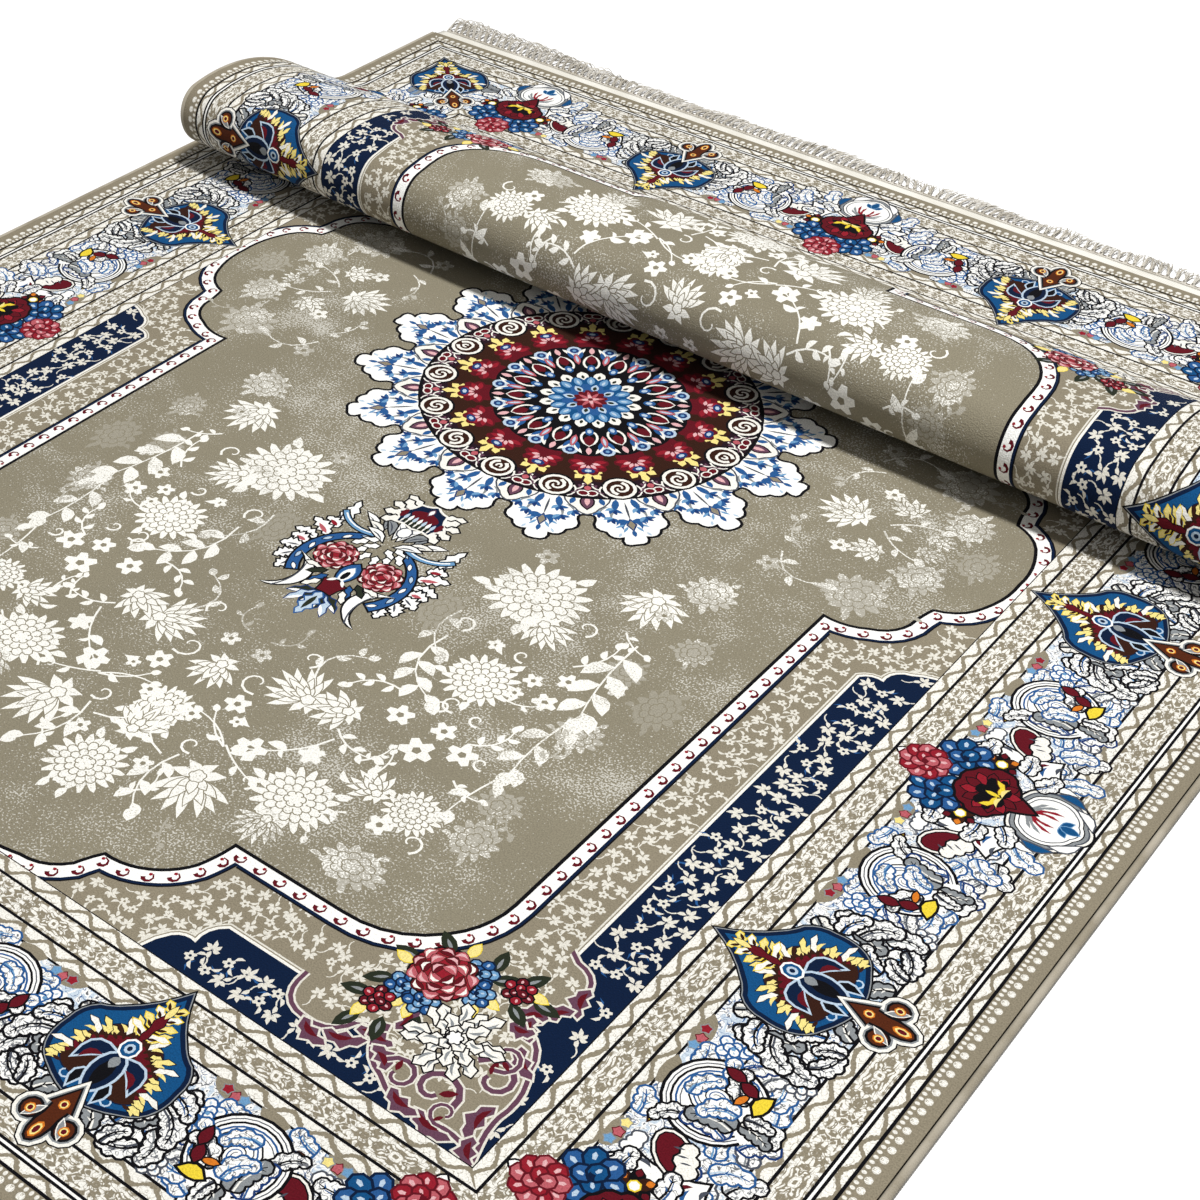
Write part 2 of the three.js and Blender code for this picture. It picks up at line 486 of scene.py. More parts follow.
CARD = Spot()


@dataclass
class Shape:
    """One filled outline of the design."""

    outline: Outline
    ink: Ink
    fade: float = 0.0
    lace: Lace = Lace.NONE
    lace_line: tuple[float, float] = (0.0, 0.0)  # the weave's middle line, and 1 where it runs along a side


class Drawing:
    """A quarter of the design, painted in order, later shapes on top."""

    def __init__(self) -> None:
        """Starts with nothing drawn."""
        self.shapes: list[Shape] = []

    def fill(self, spot: Spot, outline: Outline, ink: Ink, fade: float = 0.0) -> None:
        """Paints one outline."""
        self.shapes.append(Shape(spot.at(outline), ink, fade))

    def lined(self, spot: Spot, outline: Outline, ink: Ink, line: Ink, width: float,
              fade: float = 0.0) -> None:
        """Paints one outline with a line of another yarn round it.

        Args:
            spot: the motif's place on the card.
            outline: the motif's own outline.
            ink: its yarn.
            line: the yarn of its outline.
            width: the outline's width on the card.
            fade: how worn it is, 0 to 1.
        """
        placed = spot.at(outline)
        self.shapes.append(Shape(grown(placed, width * LINE_WEIGHT), line))
        self.shapes.append(Shape(placed, ink, fade))

    def ground(self, outline: Outline, ink: Ink, lace: Lace = Lace.NONE, centre: float = 0.0,
               side: bool = True) -> None:
        """Paints a ground that carries a small all-over weave.

        Args:
            outline: the ground's edge on the card.
            ink: its yarn.
            lace: the weave that the finish adds.
            centre: the weave's middle line, across it on the card.
            side: whether it runs along the carpet's side and not its end.
        """
        self.shapes.append(Shape(outline, ink, 0.0, lace, (centre, float(side))))

    def acanthus(self, spot: Spot, length: float, width: float, bend: float, ink: Ink, line: Ink, vein: Ink,
                 lobes: int = 4, thick: float = 0.0022) -> None:
        """Paints a curling lobed leaf along +X, with its spine and side veins.

        Args:
            spot: the motif's place on the card.
            length: from stalk to tip.
            width: across its widest part.
            bend: how far its spine turns, in radians.
            ink: its yarn.
            line: the yarn of its outline and spine.
            vein: the yarn of its lighter veins.
            lobes: how many lobes down each side.
            thick: the outline's width on the card.
        """
        edge = frond(length, width, bend, lobes)
        self.lined(spot, edge, ink, line, thick)
        if ink != Ink.GREY:
            self.shapes.append(Shape(spot.at(edge), ink, 0.0, Lace.ETCH))
        self.fill(spot, ribbon(bow(length * 0.9, bend * 0.9, 5), thick * 1.5, thick * 0.6), line)
        self.fill(spot.sub(0, width * 0.16), ribbon(bow(length * 0.7, bend * 0.8, 4), thick * 1.2,
                                                    thick * 0.5), vein)
        for k in range(1, lobes):
            x, y = bow(length, bend, lobes + 1)[k]
            for side in (-1, 1):
                turn = math.degrees(bend * k / lobes) + 48 * side
                self.fill(spot.sub(x, y, turn), points((0, -thick * 0.6), (width * 0.4, 0), (0, thick * 0.6)),
                          line if side > 0 else vein)

    def cluster(self, spot: Spot, inks: Sequence[Ink], lobes: int, line: Ink, width: float) -> None:
        """Paints a flower of unit radius from a ring of round lobes, each with its own light.

        Args:
            spot: the motif's place on the card.
            inks: two for the lobes, one for their lights and one for the heart.
            lobes: how many lobes in the outer ring.
            line: the yarn of the outlines.
            width: the outline's width on the card.
        """
        for ring, (reach, size, n) in enumerate(((0.66, 0.37, lobes), (0.25, 0.3, max(lobes // 2, 3)))):
            for k in range(n):
                at = spot.sub(0, 0, 360 / n * (k + 0.5 * ring) + 11).sub(reach, 0)
                self.lined(at, oval(8, size, size * 0.92), inks[(k + ring) % 2], line, width)
                self.fill(at.sub(size * 0.2, -size * 0.1), oval(5, size * 0.42, size * 0.24), inks[2])
        self.fill(spot, blossom(5, 0.3, 2) * 0.17, inks[3])

    def mum(self, spot: Spot, fade: float) -> None:
        """Paints a worn flower of unit radius: pointed petals in rings, thin gaps between them.

        Args:
            spot: the motif's place on the card.
            fade: how worn it is, 0 to 1.
        """
        full = ((1.0, 21), (0.74, 15), (0.49, 11), (0.25, 6))
        rings = full if fade < 0.35 else ((1.0, 13), (0.66, 9), (0.33, 5))
        for row, (size, n) in enumerate(rings):
            turn = 180 / n * row + 8
            ring = blossom(n, 0.2, 4, turn)
            stretch = 1 + 0.10 * np.sin(np.arange(len(ring)) * 1.3) * (row == 0)
            self.lined(spot, ring * (size * stretch)[:, None], Ink.CREAM, Ink.FIELD, 0.0013, fade)
            for k in range(n):
                gap = points((size * 0.62, -0.006), (size * 0.97, 0), (size * 0.62, 0.006))
                self.fill(spot.sub(0, 0, turn + 360 / n * k), gap * [1, 2.2 * (1 + row * 0.3)], Ink.FIELD)
        for side in (-70, 70, 160):
            self.fill(spot.sub(0, 0, side).sub(0.92, 0, 16), leaf(0.46, 0.24, 0.12, 0, 3), Ink.CREAM, fade)

    def fan(self, spot: Spot, fade: float, spread: float, n: int) -> None:
        """Paints a worn half-open flower that opens towards +X, with leaves under it.

        Args:
            spot: the motif's place on the card.
            fade: how worn it is, 0 to 1.
            spread: degrees from its middle to its side.
            n: petals in the outer row.
        """
        for turn in (-150, -112, 112, 150):
            self.fill(spot.sub(0.05, 0, turn), leaf(0.6, 0.26, 0.1 * turn / 100, 0, 3), Ink.CREAM, fade)
        for row, reach in enumerate((1.05, 0.72, 0.4)):
            count = max(n - row * 2, 2)
            for k in sorted(range(count), key=lambda k: -abs(2 * k - count + 1)):
                turn = spread * (2 * k / (count - 1) - 1) * (1 - 0.1 * row)
                wide = 2.1 * math.radians(spread) * reach * 0.72 / count
                petal = leaf(reach * (1.1 - abs(turn) / 330), wide, 0.05 * math.sin(k * 2.3), 0, 4, 0.7)
                self.lined(spot.sub(0, 0, turn), petal, Ink.CREAM, Ink.FIELD, 0.0012, fade)
        self.lined(spot.sub(-0.06, 0), blossom(5, 0.2, 3) * 0.17, Ink.CREAM, Ink.FIELD, 0.0012, fade)

    def sprig(self, spot: Spot, fade: float, leaves: int, bend: float, stem: float) -> None:
        """Paints a leafy stem of unit length along +X, with a bud.

        Args:
            spot: the motif's place on the card.
            fade: how worn it is, 0 to 1.
            leaves: how many leaves.
            bend: sideways bow of the stem.
            stem: width of the stem.
        """
        t = np.linspace(0, 1, 6)
        line = np.stack([t, bend * 4 * t * (1 - t)], -1)
        self.fill(spot, ribbon(line, stem, stem * 0.6), Ink.CREAM, fade)
        for k in range(leaves):
            u = 0.2 + 0.72 * k / max(leaves - 1, 1)
            side = 1 if k % 2 else -1
            at = spot.sub(u, bend * 4 * u * (1 - u), side * (48 - 12 * u))
            self.fill(at, leaf(0.3 - 0.06 * u, 0.13, 0.12 * side), Ink.CREAM, fade)
        self.fill(spot.sub(0.98, 0, -bend * 90), leaf(0.22, 0.15, 0, 0, 4, 0.6), Ink.CREAM, fade)

    def floret(self, spot: Spot, ink: Ink, heart: Ink, fade: float = 0.0) -> None:
        """Paints a small open flower of unit radius."""
        self.fill(spot, blossom(5, 0.42, 3), ink, fade)
        self.fill(spot, oval(5) * 0.28, heart)

    def curl(self, spot: Spot, width: float, turns: float, fade: float) -> None:
        """Paints a curling tendril of unit size."""
        self.fill(spot, ribbon(spiral(1, 0.2, turns, 11), width, width * 0.5), Ink.CREAM, fade)


# ---------------------------------------------------------------- the design


@dataclass
class FieldDesign:
    """The open field inside the border: medallion, pendant, worn flowers, band, corners."""

    half_width: float = 0.799
    half_length: float = 1.383
    lobes: int = 16
    lobe_tip: float = 0.414
    lobe_notch: float = 0.334
    band_width: float = 0.033
    comma_start: float = 0.014
    comma_pitch: float = 0.0335
    seed: int = 7
    edge: Outline | None = None

    def draw(self) -> Drawing:
        """Paints a quarter of the field.

        Returns:
            The drawing.
        """
        d = Drawing()
        d.ground(points((-1, -1), (1, -1), (1, 2), (-1, 2)), Ink.GUARD)
        self.spandrel(d)
        self.side_panel(d)
        self.corner(d)
        self.band(d)
        self.field_flowers(d)
        self.pendant(d)
        self.medallion(d)
        self.corner_bouquet(d)
        return d

    def band_edge(self) -> Outline:
        """Gives the inner edge of the white band, from the side's middle to the end's middle.

        Returns:
            The points of the open line.
        """
        nodes = [(0.786, -0.05), (0.786, 0.0), (0.772, 0.085), (0.716, 0.139), (0.706, 0.195), (0.666, 0.241),
                 (0.597, 0.256), (0.597, 1.03), (0.563, 1.122), (0.44, 1.177), (0.258, 1.177),
                 (0.245, 1.236), (0.205, 1.28), (0.141, 1.297), (0.122, 1.336), (0.06, 1.368), (0.0, 1.377),
                 (-0.05, 1.377)]
        bulges = [0, 0.06, 0.13, -0.03, 0.13, 0.1, 0, 0.09, 0.12, 0, 0.03, 0.07, 0.08, -0.03, 0.12, 0.03, 0]
        return chain(nodes, bulges, 5, closed=False)

    def band(self, d: Drawing) -> None:
        """Paints the white band with its dark edges and red commas, and the field inside it.

        Args:
            d: the drawing to paint in.
        """
        edge = self.band_edge()

        def shut(by: float) -> Outline:
            """Closes the band's edge, moved outwards, past both axes.

            Args:
                by: how far the edge is moved.

            Returns:
                The closed outline.
            """
            line = np.concatenate([edge, points((-0.3, 1.377), (-0.3, -0.05))])
            moved = grown(line, by)[1:-3]
            return np.concatenate([points((moved[0, 0], -0.2)), moved,
                                   points((-0.2, moved[-1, 1]), (-0.2, -0.2))])

        d.fill(CARD, shut(self.band_width), Ink.BLACK)
        d.fill(CARD, shut(self.band_width - 0.0025), Ink.NAVY)
        d.fill(CARD, shut(self.band_width - 0.0068), Ink.WHITE)
        d.fill(CARD, shut(0.0056), Ink.BLACK)
        d.ground(shut(0.0), Ink.FIELD, Lace.MIST)
        middle = shut(self.band_width / 2)[1:-2]
        step = np.linalg.norm(np.diff(middle, axis=0), axis=1)
        run = np.concatenate([[0], np.cumsum(step)])
        for s in np.arange(self.comma_start, run[-1], self.comma_pitch):
            at = points((np.interp(s, run, middle[:, 0]), np.interp(s, run, middle[:, 1])))[0]
            ahead = points((np.interp(s + 0.01, run, middle[:, 0]),
                            np.interp(s + 0.01, run, middle[:, 1])))[0]
            turn = math.degrees(math.atan2(*(ahead - at)[::-1]))
            spot = CARD.sub(at[0], at[1], turn - 90)
            d.fill(spot, ribbon(spiral(0.0098, 0.0046, 0.62, 6, -130), 0.0018, 0.007), Ink.MAROON)
            d.fill(spot.sub(-0.0055, -0.004), oval(5) * 0.003, Ink.RED)

    # -- medallion

    def medallion(self, d: Drawing) -> None:
        """Paints the round medallion from its scalloped rim to its heart.

        Args:
            d: the drawing to paint in.
        """
        step = 360 / self.lobes
        rim = []
        for k in range(self.lobes):
            base = k * step
            half = [(-step / 2, self.lobe_notch, -0.3), (-8.6, 0.35, 0.3), (-6.3, 0.379, 0.28),
                    (-2.4, 0.393, 0.34)]
            rim += [(base + a, r, b) for a, r, b in half]
            rim.append((base, self.lobe_tip, 0.34) if k % 2 else (base, self.lobe_tip - 0.002, 0.5))
            rim += [(base - a, r, b) for a, r, b in ((-2.4, 0.393, 0.28), (-6.3, 0.379, 0.3),
                                                     (-8.6, 0.35, -0.3))]
        nodes = [(r * math.cos(math.radians(a)), r * math.sin(math.radians(a))) for a, r, _ in rim]
        outline = chain(nodes, [b for _, _, b in rim], 4)
        d.fill(CARD, grown(outline, 0.005), Ink.BLACK)
        d.fill(CARD, outline, Ink.WHITE)
        around = range(-1, 6)  # the lobes that show in this quarter
        for k in around:
            self.lobe_leaves(d, CARD.sub(0, 0, k * step))
        for k in around:
            self.arcade(d, CARD.sub(0, 0, (k + 0.5) * step))
        d.fill(CARD, oval(64) * 0.293, Ink.BLACK)
        d.fill(CARD, oval(64) * 0.287, Ink.PLUM)
        d.fill(CARD, blossom(32, 0.05, 4) * 0.246, Ink.COCOA)
        for k in around:
            self.roundel_ring(d, CARD.sub(0, 0, k * step))
        for k in around:
            self.flower_ring(d, CARD.sub(0, 0, (k + 0.5) * step))
        d.fill(CARD, blossom(16, 0.06, 6) * 0.172, Ink.BLACK)
        for k in around:
            self.feather_ring(d, CARD.sub(0, 0, k * step), CARD.sub(0, 0, (k + 0.5) * step))
        self.heart(d)

    def lobe_leaves(self, d: Drawing, lobe: Spot) -> None:
        """Paints the blue sprigs in one white lobe.

        Args:
            d: the drawing to paint in.
            lobe: the lobe's direction from the middle.
        """
        d.lined(lobe.sub(0.362, 0), points((-0.012, 0), (0, 0.006), (0.013, 0), (0, -0.006)), Ink.GUARD,
                Ink.INDIGO, 0.002)
        for turn in (-66, -33, 33, 66):
            d.fill(lobe.sub(0.352, 0, turn), leaf(0.027, 0.009, 0.3 * np.sign(turn)), Ink.BLUE)
            d.fill(lobe.sub(0.356, 0, turn).sub(0.012, 0), leaf(0.018, 0.005), Ink.SKY)
        d.fill(lobe.sub(0.376, 0), leaf(0.018, 0.008), Ink.BLUE)
        d.fill(lobe.sub(0.3, 0), leaf(0.05, 0.004), Ink.SLATE)
        for side in (-1, 1):
            for x, y, turn in ((0.34, 0.025, 22), (0.324, 0.04, 46), (0.316, 0.018, 20)):
                tuft = lobe.sub(x, y * side, turn * side)
                d.fill(tuft.sub(-0.018, 0), leaf(0.024, 0.005, 0.2 * side), Ink.GREY)
                for t, ink in ((-60, Ink.BLUE), (-22, Ink.INDIGO), (20, Ink.BLUE), (58, Ink.SKY)):
                    d.fill(tuft.sub(0.002, 0, t), leaf(0.017, 0.0075, 0.1), ink)
            d.fill(lobe.sub(0.292, 0.012 * side, 14 * side), leaf(0.032, 0.012), Ink.BLUE)
            d.fill(lobe.sub(0.294, 0.03 * side, 24 * side), leaf(0.024, 0.008), Ink.SLATE)
            d.fill(lobe.sub(0.382, 0.02 * side, 30 * side), leaf(0.012, 0.005), Ink.ICE)

    def arcade(self, d: Drawing, between: Spot) -> None:
        """Paints the grey arch and the maroon bud between two lobes.

        Args:
            d: the drawing to paint in.
            between: the direction between two lobes.
        """
        arch = chain([(0.285, -0.036), (0.318, -0.018), (0.334, 0), (0.318, 0.018), (0.285, 0.036)],
                     [0.12, 0.12, 0.12, 0.12, 0], 3)
        d.lined(between, arch, Ink.IVORY, Ink.SLATE, 0.0022)
        d.lined(between.sub(0.284, 0), leaf(0.036, 0.02, 0, 0, 5), Ink.MAUVE, Ink.BLACK, 0.002)
        d.fill(between.sub(0.288, 0), leaf(0.024, 0.009), Ink.PINK)
        for side in (-1, 1):
            d.fill(between.sub(0.29, 0.02 * side, 20 * side), leaf(0.02, 0.01), Ink.BLUE)

    def roundel_ring(self, d: Drawing, lobe: Spot) -> None:
        """Paints one scrolled roundel and the dark waves beside it.

        Args:
            d: the drawing to paint in.
            lobe: the lobe's direction from the middle.
        """
        d.lined(lobe.sub(0.263, 0), oval(16) * 0.0275, Ink.IVORY, Ink.BLACK, 0.003)
        d.fill(lobe.sub(0.263, 0), oval(14) * 0.022, Ink.COCOA)
        for turn in (0, 180):
            d.fill(lobe.sub(0.263, 0, turn), ribbon(spiral(0.017, 0.003, 0.72, 9, 20), 0.0065, 0.003),
                   Ink.IVORY)
        for side in (-1, 1):
            for k in range(4):
                arc = ribbon(bow(0.036 - 0.006 * k, 1.9 * side, 6), 0.0022, 0.0034)
                d.fill(lobe.sub(0.287 - 0.011 * k, (0.024 + 0.004 * k) * side, (118 - 10 * k) * side), arc,
                       Ink.IVORY if k % 2 == 0 else Ink.MAUVE)
            d.lined(lobe.sub(0.273, 0.047 * side), oval(8, 0.006, 0.008), Ink.MAROON, Ink.IVORY, 0.0018)

    def flower_ring(self, d: Drawing, between: Spot) -> None:
        """Paints one yellow star leaf with its red and blue flower.

        Args:
            d: the drawing to paint in.
            between: the direction between two lobes.
        """
        for turn, long in ((-78, 0.024), (-42, 0.032), (0, 0.04), (42, 0.032), (78, 0.024)):
            d.fill(between.sub(0.213, 0, turn), leaf(long, 0.016, 0, 2), Ink.YELLOW)
        d.fill(between.sub(0.256, 0), leaf(0.014, 0.012), Ink.ROSE)
        d.fill(between.sub(0.194, 0), blossom(9, 0.18, 3) * 0.034, Ink.MAROON)
        for k in range(7):
            d.fill(between.sub(0.19, 0, -96 + 32 * k).sub(0.008, 0), leaf(0.022, 0.010), Ink.RED)
        for k in range(5):
            d.fill(between.sub(0.192, 0, -80 + 40 * k).sub(0.006, 0), leaf(0.014, 0.007), Ink.PINK)
        d.fill(between.sub(0.214, 0), oval(7, 0.008, 0.012), Ink.INDIGO)
        d.fill(between.sub(0.214, 0), oval(6, 0.004, 0.006), Ink.ICE)

    def feather_ring(self, d: Drawing, lobe: Spot, between: Spot) -> None:
        """Paints the feather drops, small rings and leaves near the heart.

        Args:
            d: the drawing to paint in.
            lobe: the lobe's direction from the middle.
            between: the direction between two lobes.
        """
        d.fill(lobe.sub(0.158, 0), oval(10) * 0.0135, Ink.ICE)
        d.fill(lobe.sub(0.158, 0), oval(8) * 0.0085, Ink.INDIGO)
        d.fill(lobe.sub(0.158, 0), oval(5) * 0.004, Ink.SKY)
        for side in (-1, 1):
            d.fill(lobe.sub(0.142, 0.003 * side, 40 * side), leaf(0.028, 0.008), Ink.IVORY)
            d.fill(lobe.sub(0.13, 0.004 * side, 22 * side), leaf(0.026, 0.008), Ink.BLUE)
        d.fill(lobe.sub(0.112, 0), leaf(0.036, 0.012), Ink.ROSE)
        d.fill(lobe.sub(0.118, 0), leaf(0.024, 0.005), Ink.ICE)
        d.lined(between.sub(0.094, 0), leaf(0.05, 0.031, 0, 0, 6, 0.6), Ink.IVORY, Ink.BLACK, 0.001)
        d.fill(between.sub(0.098, 0), leaf(0.041, 0.023, 0, 0, 5, 0.6), Ink.BLACK)
        d.fill(between.sub(0.112, 0), leaf(0.03, 0.018, 0, 0, 5, 0.6), Ink.MAROON)
        d.fill(between.sub(0.1, 0), oval(8, 0.011, 0.0075), Ink.BLUE)
        d.fill(between.sub(0.099, 0), oval(6, 0.006, 0.004), Ink.ICE)
        d.fill(between.sub(0.146, 0), leaf(0.022, 0.01), Ink.PINK)

    def heart(self, d: Drawing) -> None:
        """Paints the pale blue rosette in the middle.

        Args:
            d: the drawing to paint in.
        """
        d.fill(CARD, blossom(16, 0.12, 4, 11.25) * 0.092, Ink.BLACK)
        for k in range(16):
            at = CARD.sub(0, 0, 22.5 * k)
            d.fill(at.sub(0.062, 0), leaf(0.026, 0.021, 0, 0, 5, 0.55), Ink.IVORY)
            d.fill(at.sub(0.066, 0), leaf(0.012, 0.006), Ink.MOSS)
        d.fill(CARD, blossom(16, 0.14, 4) * 0.072, Ink.ROYAL)
        for k in range(16):
            at = CARD.sub(0, 0, 22.5 * (k + 0.5))
            d.fill(at.sub(0.045, 0), leaf(0.027, 0.014), Ink.SKY)
            d.fill(at.sub(0.05, 0), leaf(0.014, 0.005), Ink.ICE)
        d.fill(CARD, blossom(12, 0.2, 3) * 0.05, Ink.BLUE)
        for k in range(8):
            at = CARD.sub(0, 0, 45 * k + 22.5)
            d.fill(at.sub(0.026, 0), leaf(0.022, 0.014), Ink.ICE)
            d.fill(at.sub(0.029, 0), leaf(0.013, 0.007), Ink.MOSS)
        d.fill(CARD, blossom(12, 0.2, 3) * 0.03, Ink.MAROON)
        for k in range(8):
            d.fill(CARD.sub(0, 0, 45 * k), leaf(0.025, 0.007), Ink.ROSE)
        for k in range(4):
            d.fill(CARD.sub(0, 0, 90 * k + 45), leaf(0.016, 0.007), Ink.PINK)
        d.fill(CARD, oval(8) * 0.0045, Ink.MAROON)

    # -- pendant

    def pendant(self, d: Drawing) -> None:
        """Paints the pendant that hangs from the medallion on the long axis.

        Args:
            d: the drawing to paint in.
        """
        down = CARD.sub(0, 0, 90)  # local X runs along the carpet, away from the medallion
        for side in (-1, 1):
            for turn, long, ink in ((62, 0.05, Ink.MOSS), (38, 0.055, Ink.ICE), (18, 0.04, Ink.MOSS)):
                d.lined(down.sub(0.704, 0, turn * side), leaf(long, 0.014, 0.1 * side, 3), ink, Ink.INDIGO,
                        0.0016)
                d.fill(down.sub(0.704, 0, turn * side).sub(long * 0.5, 0), leaf(long * 0.52, 0.006),
                       Ink.WHITE)
        d.lined(down.sub(0.702, 0), leaf(0.062, 0.022, 0, 4), Ink.ICE, Ink.BLUE, 0.0018)
        d.fill(down.sub(0.712, 0), leaf(0.04, 0.009), Ink.MOSS)
        for side in (-1, 1):
            # outer leaves, from the shoulder round to the side
            for x, y, turn, long, wide, core in (
                    (0.552, 0.102, 178, 0.068, 0.02, None), (0.56, 0.088, 112, 0.032, 0.02, Ink.RED),
                    (0.586, 0.088, 118, 0.05, 0.022, Ink.ROSE), (0.603, 0.096, 92, 0.042, 0.02, None),
                    (0.62, 0.1, 96, 0.032, 0.022, Ink.ROSE), (0.632, 0.1, 66, 0.034, 0.022, None),
                    (0.65, 0.098, 34, 0.034, 0.02, None), (0.668, 0.088, 16, 0.032, 0.018, None)):
                at = down.sub(x, y * side, turn * side)
                d.lined(at, leaf(long, wide, 0.08 * side, 4), Ink.WHITE, Ink.BLACK, 0.0022)
                d.fill(at.sub(0.004, 0), leaf(long * 0.6, 0.008 if core else 0.004), core or Ink.SLATE)
            # royal arcs with pale glints
            sweep = ribbon(bow(0.17, -1.9 * side, 12), 0.012, 0.018)
            d.lined(down.sub(0.548, 0.03 * side, 72 * side), sweep, Ink.BLUE, Ink.BLACK, 0.0026)
            for k in range(6):
                x, y = bow(0.17, -1.9 * side, 12)[2 * k]
                turn = 72 * side - math.degrees(1.9 * side * 2 * k / 11)
                d.lined(down.sub(0.548, 0.03 * side, 72 * side).sub(x, y, turn - 72 * side + 20 * (k % 2)),
                        leaf(0.016, 0.006), Ink.WHITE if k % 2 else Ink.ICE, Ink.NAVY, 0.0012)
            # shoulder crescents and the plume's horns
            arm = ribbon(bow(0.086, 1.35 * side, 9), 0.009, 0.008)
            d.lined(down.sub(0.537, 0.03 * side, 66 * side), arm, Ink.SKY, Ink.BLACK, 0.002)
            d.fill(down.sub(0.536, 0.034 * side, 68 * side), ribbon(bow(0.074, 1.2 * side, 7), 0.002, 0.003),
                   Ink.WHITE)
            for x, y, turn, long, ink in ((0.53, 0.04, 130, 0.05, Ink.WHITE),
                                          (0.518, 0.03, 150, 0.045, Ink.GREY),
                                          (0.532, 0.026, 118, 0.04, Ink.IVORY),
                                          (0.524, 0.014, 140, 0.05, Ink.GREY),
                                          (0.545, 0.012, 112, 0.044, Ink.WHITE),
                                          (0.53, 0.004, 160, 0.05, Ink.WHITE)):
                at = down.sub(x, y * side, turn * side)
                d.lined(at, leaf(long, 0.014, 0.12 * side), ink, Ink.BLACK, 0.002)
                d.fill(at.sub(0.004, 0), leaf(long * 0.7, 0.003, 0.12 * side), Ink.SLATE)
            for x, y, turn in ((0.545, 0.018, 60), (0.556, 0.03, 40), (0.556, 0.008, 50), (0.572, 0.02, 30),
                               (0.58, 0.006, 20)):
                d.lined(down.sub(x, y * side, turn * side), leaf(0.026, 0.012, 0, 2), Ink.WHITE, Ink.BLACK,
                        0.0018)
            # long double-lined horns below
            horn = chain([(0.642, 0.094 * side), (0.664, 0.066 * side), (0.704, 0.06 * side),
                          (0.74, 0.09 * side), (0.722, 0.056 * side), (0.7, 0.043 * side),
                          (0.67, 0.046 * side), (0.652, 0.064 * side)],
                         [0.1 * side, 0.1 * side, 0.14 * side, -0.1 * side, -0.08 * side, -0.1 * side,
                          -0.08 * side, 0], 4)
            d.lined(down, horn, Ink.WHITE, Ink.BLACK, 0.0024)
            d.fill(down.sub(0.652, 0.07 * side, -30 * side), ribbon(bow(0.09, 1.1 * side, 8), 0.0016, 0.003),
                   Ink.SLATE)
            for x, y, turn, ink in ((0.655, 0.03, 50, Ink.MOSS), (0.664, 0.022, 28, Ink.BLUE),
                                    (0.652, 0.04, 80, Ink.IVORY), (0.68, 0.022, 34, Ink.IVORY)):
                d.lined(down.sub(x, y * side, turn * side), leaf(0.03, 0.011, 0, 2), ink, Ink.BLACK, 0.0016)
            # leaves round the arch
            for x, y, turn, long in ((0.432, 0.024, 112, 0.034), (0.452, 0.034, 96, 0.03),
                                     (0.468, 0.036, 76, 0.028), (0.478, 0.03, 50, 0.03),
                                     (0.448, 0.03, 132, 0.028)):
                d.lined(down.sub(x, y * side, turn * side), leaf(long, 0.017, 0, 2), Ink.IVORY, Ink.BLACK,
                        0.0022)
        d.lined(down.sub(0.505, 0), oval(9, 0.013, 0.01), Ink.WHITE, Ink.SLATE, 0.002)
        # arch
        arch = chain([(0.419, 0), (0.43, 0.024), (0.462, 0.042), (0.486, 0.03), (0.488, 0), (0.486, -0.03),
                      (0.462, -0.042), (0.43, -0.024)], 0.1, 3)
        d.lined(down, arch, Ink.NAVY, Ink.IVORY, 0.003)
        d.fill(down.sub(0.437, 0), leaf(0.034, 0.05, 0, 0, 6), Ink.MAROON)
        d.fill(down.sub(0.476, 0), oval(10, 0.011, 0.026), Ink.MOSS)
        for k in range(-3, 4):
            d.fill(down.sub(0.476, 0.0085 * k, 180), leaf(0.018, 0.006), Ink.ICE if k % 2 else Ink.WHITE)
            d.fill(down.sub(0.472, 0.0085 * k), leaf(0.014, 0.003), Ink.IVORY)
        d.lined(down.sub(0.428, 0), leaf(0.016, 0.007), Ink.WHITE, Ink.MAUVE, 0.0014)
        for side in (-1, 1):
            d.fill(down.sub(0.462, 0.034 * side), oval(8, 0.012, 0.005), Ink.MAROON)
            self.rose(d, down.sub(0.617, 0.044 * side, 60 * side, 0.034))
        d.lined(down.sub(0.612, 0), leaf(0.06, 0.03, 0, 0, 6), Ink.BLUE, Ink.BLACK, 0.0022)
        d.lined(down.sub(0.624, 0), leaf(0.044, 0.018, 0, 0, 5), Ink.WHITE, Ink.SKY, 0.001)
        d.fill(down.sub(0.648, 0), oval(8, 0.012, 0.005), Ink.BLACK)
        vase = chain([(0.664, 0), (0.672, 0.02), (0.7, 0.013), (0.7, -0.013), (0.672, -0.02)], 0.05, 2)
        d.lined(down, vase, Ink.MAROON, Ink.BLACK, 0.002)
        for side in (-1, 1):
            d.fill(down.sub(0.66, 0.004 * side, 40 * side), leaf(0.018, 0.006), Ink.WHITE)

    def rose(self, d: Drawing, spot: Spot) -> None:
        """Paints a full red flower of unit radius with pale folds.

        Args:
            d: the drawing to paint in.
            spot: the motif's place on the card.
        """
        d.lined(spot, blossom(9, 0.16), Ink.RED, Ink.BLACK, 0.0022)
        for ring, (reach, n) in enumerate(((0.78, 11), (0.5, 8), (0.2, 4))):
            for k in range(n):
                at = spot.sub(0, 0, 360 / n * (k + 0.5 * ring)).sub(reach, 0, 90 + 24 * math.sin(3 * k))
                d.lined(at.sub(-0.2, 0), leaf(0.5, 0.32, -0.25, 0, 4, 0.6), Ink.MAROON if k % 2 else Ink.ROSE,
                        Ink.COCOA, 0.0007)
                d.fill(at.sub(-0.16, -0.05), leaf(0.4, 0.12, -0.3, 0, 3), Ink.PINK if k % 3 else Ink.IVORY)

    # -- worn flowers

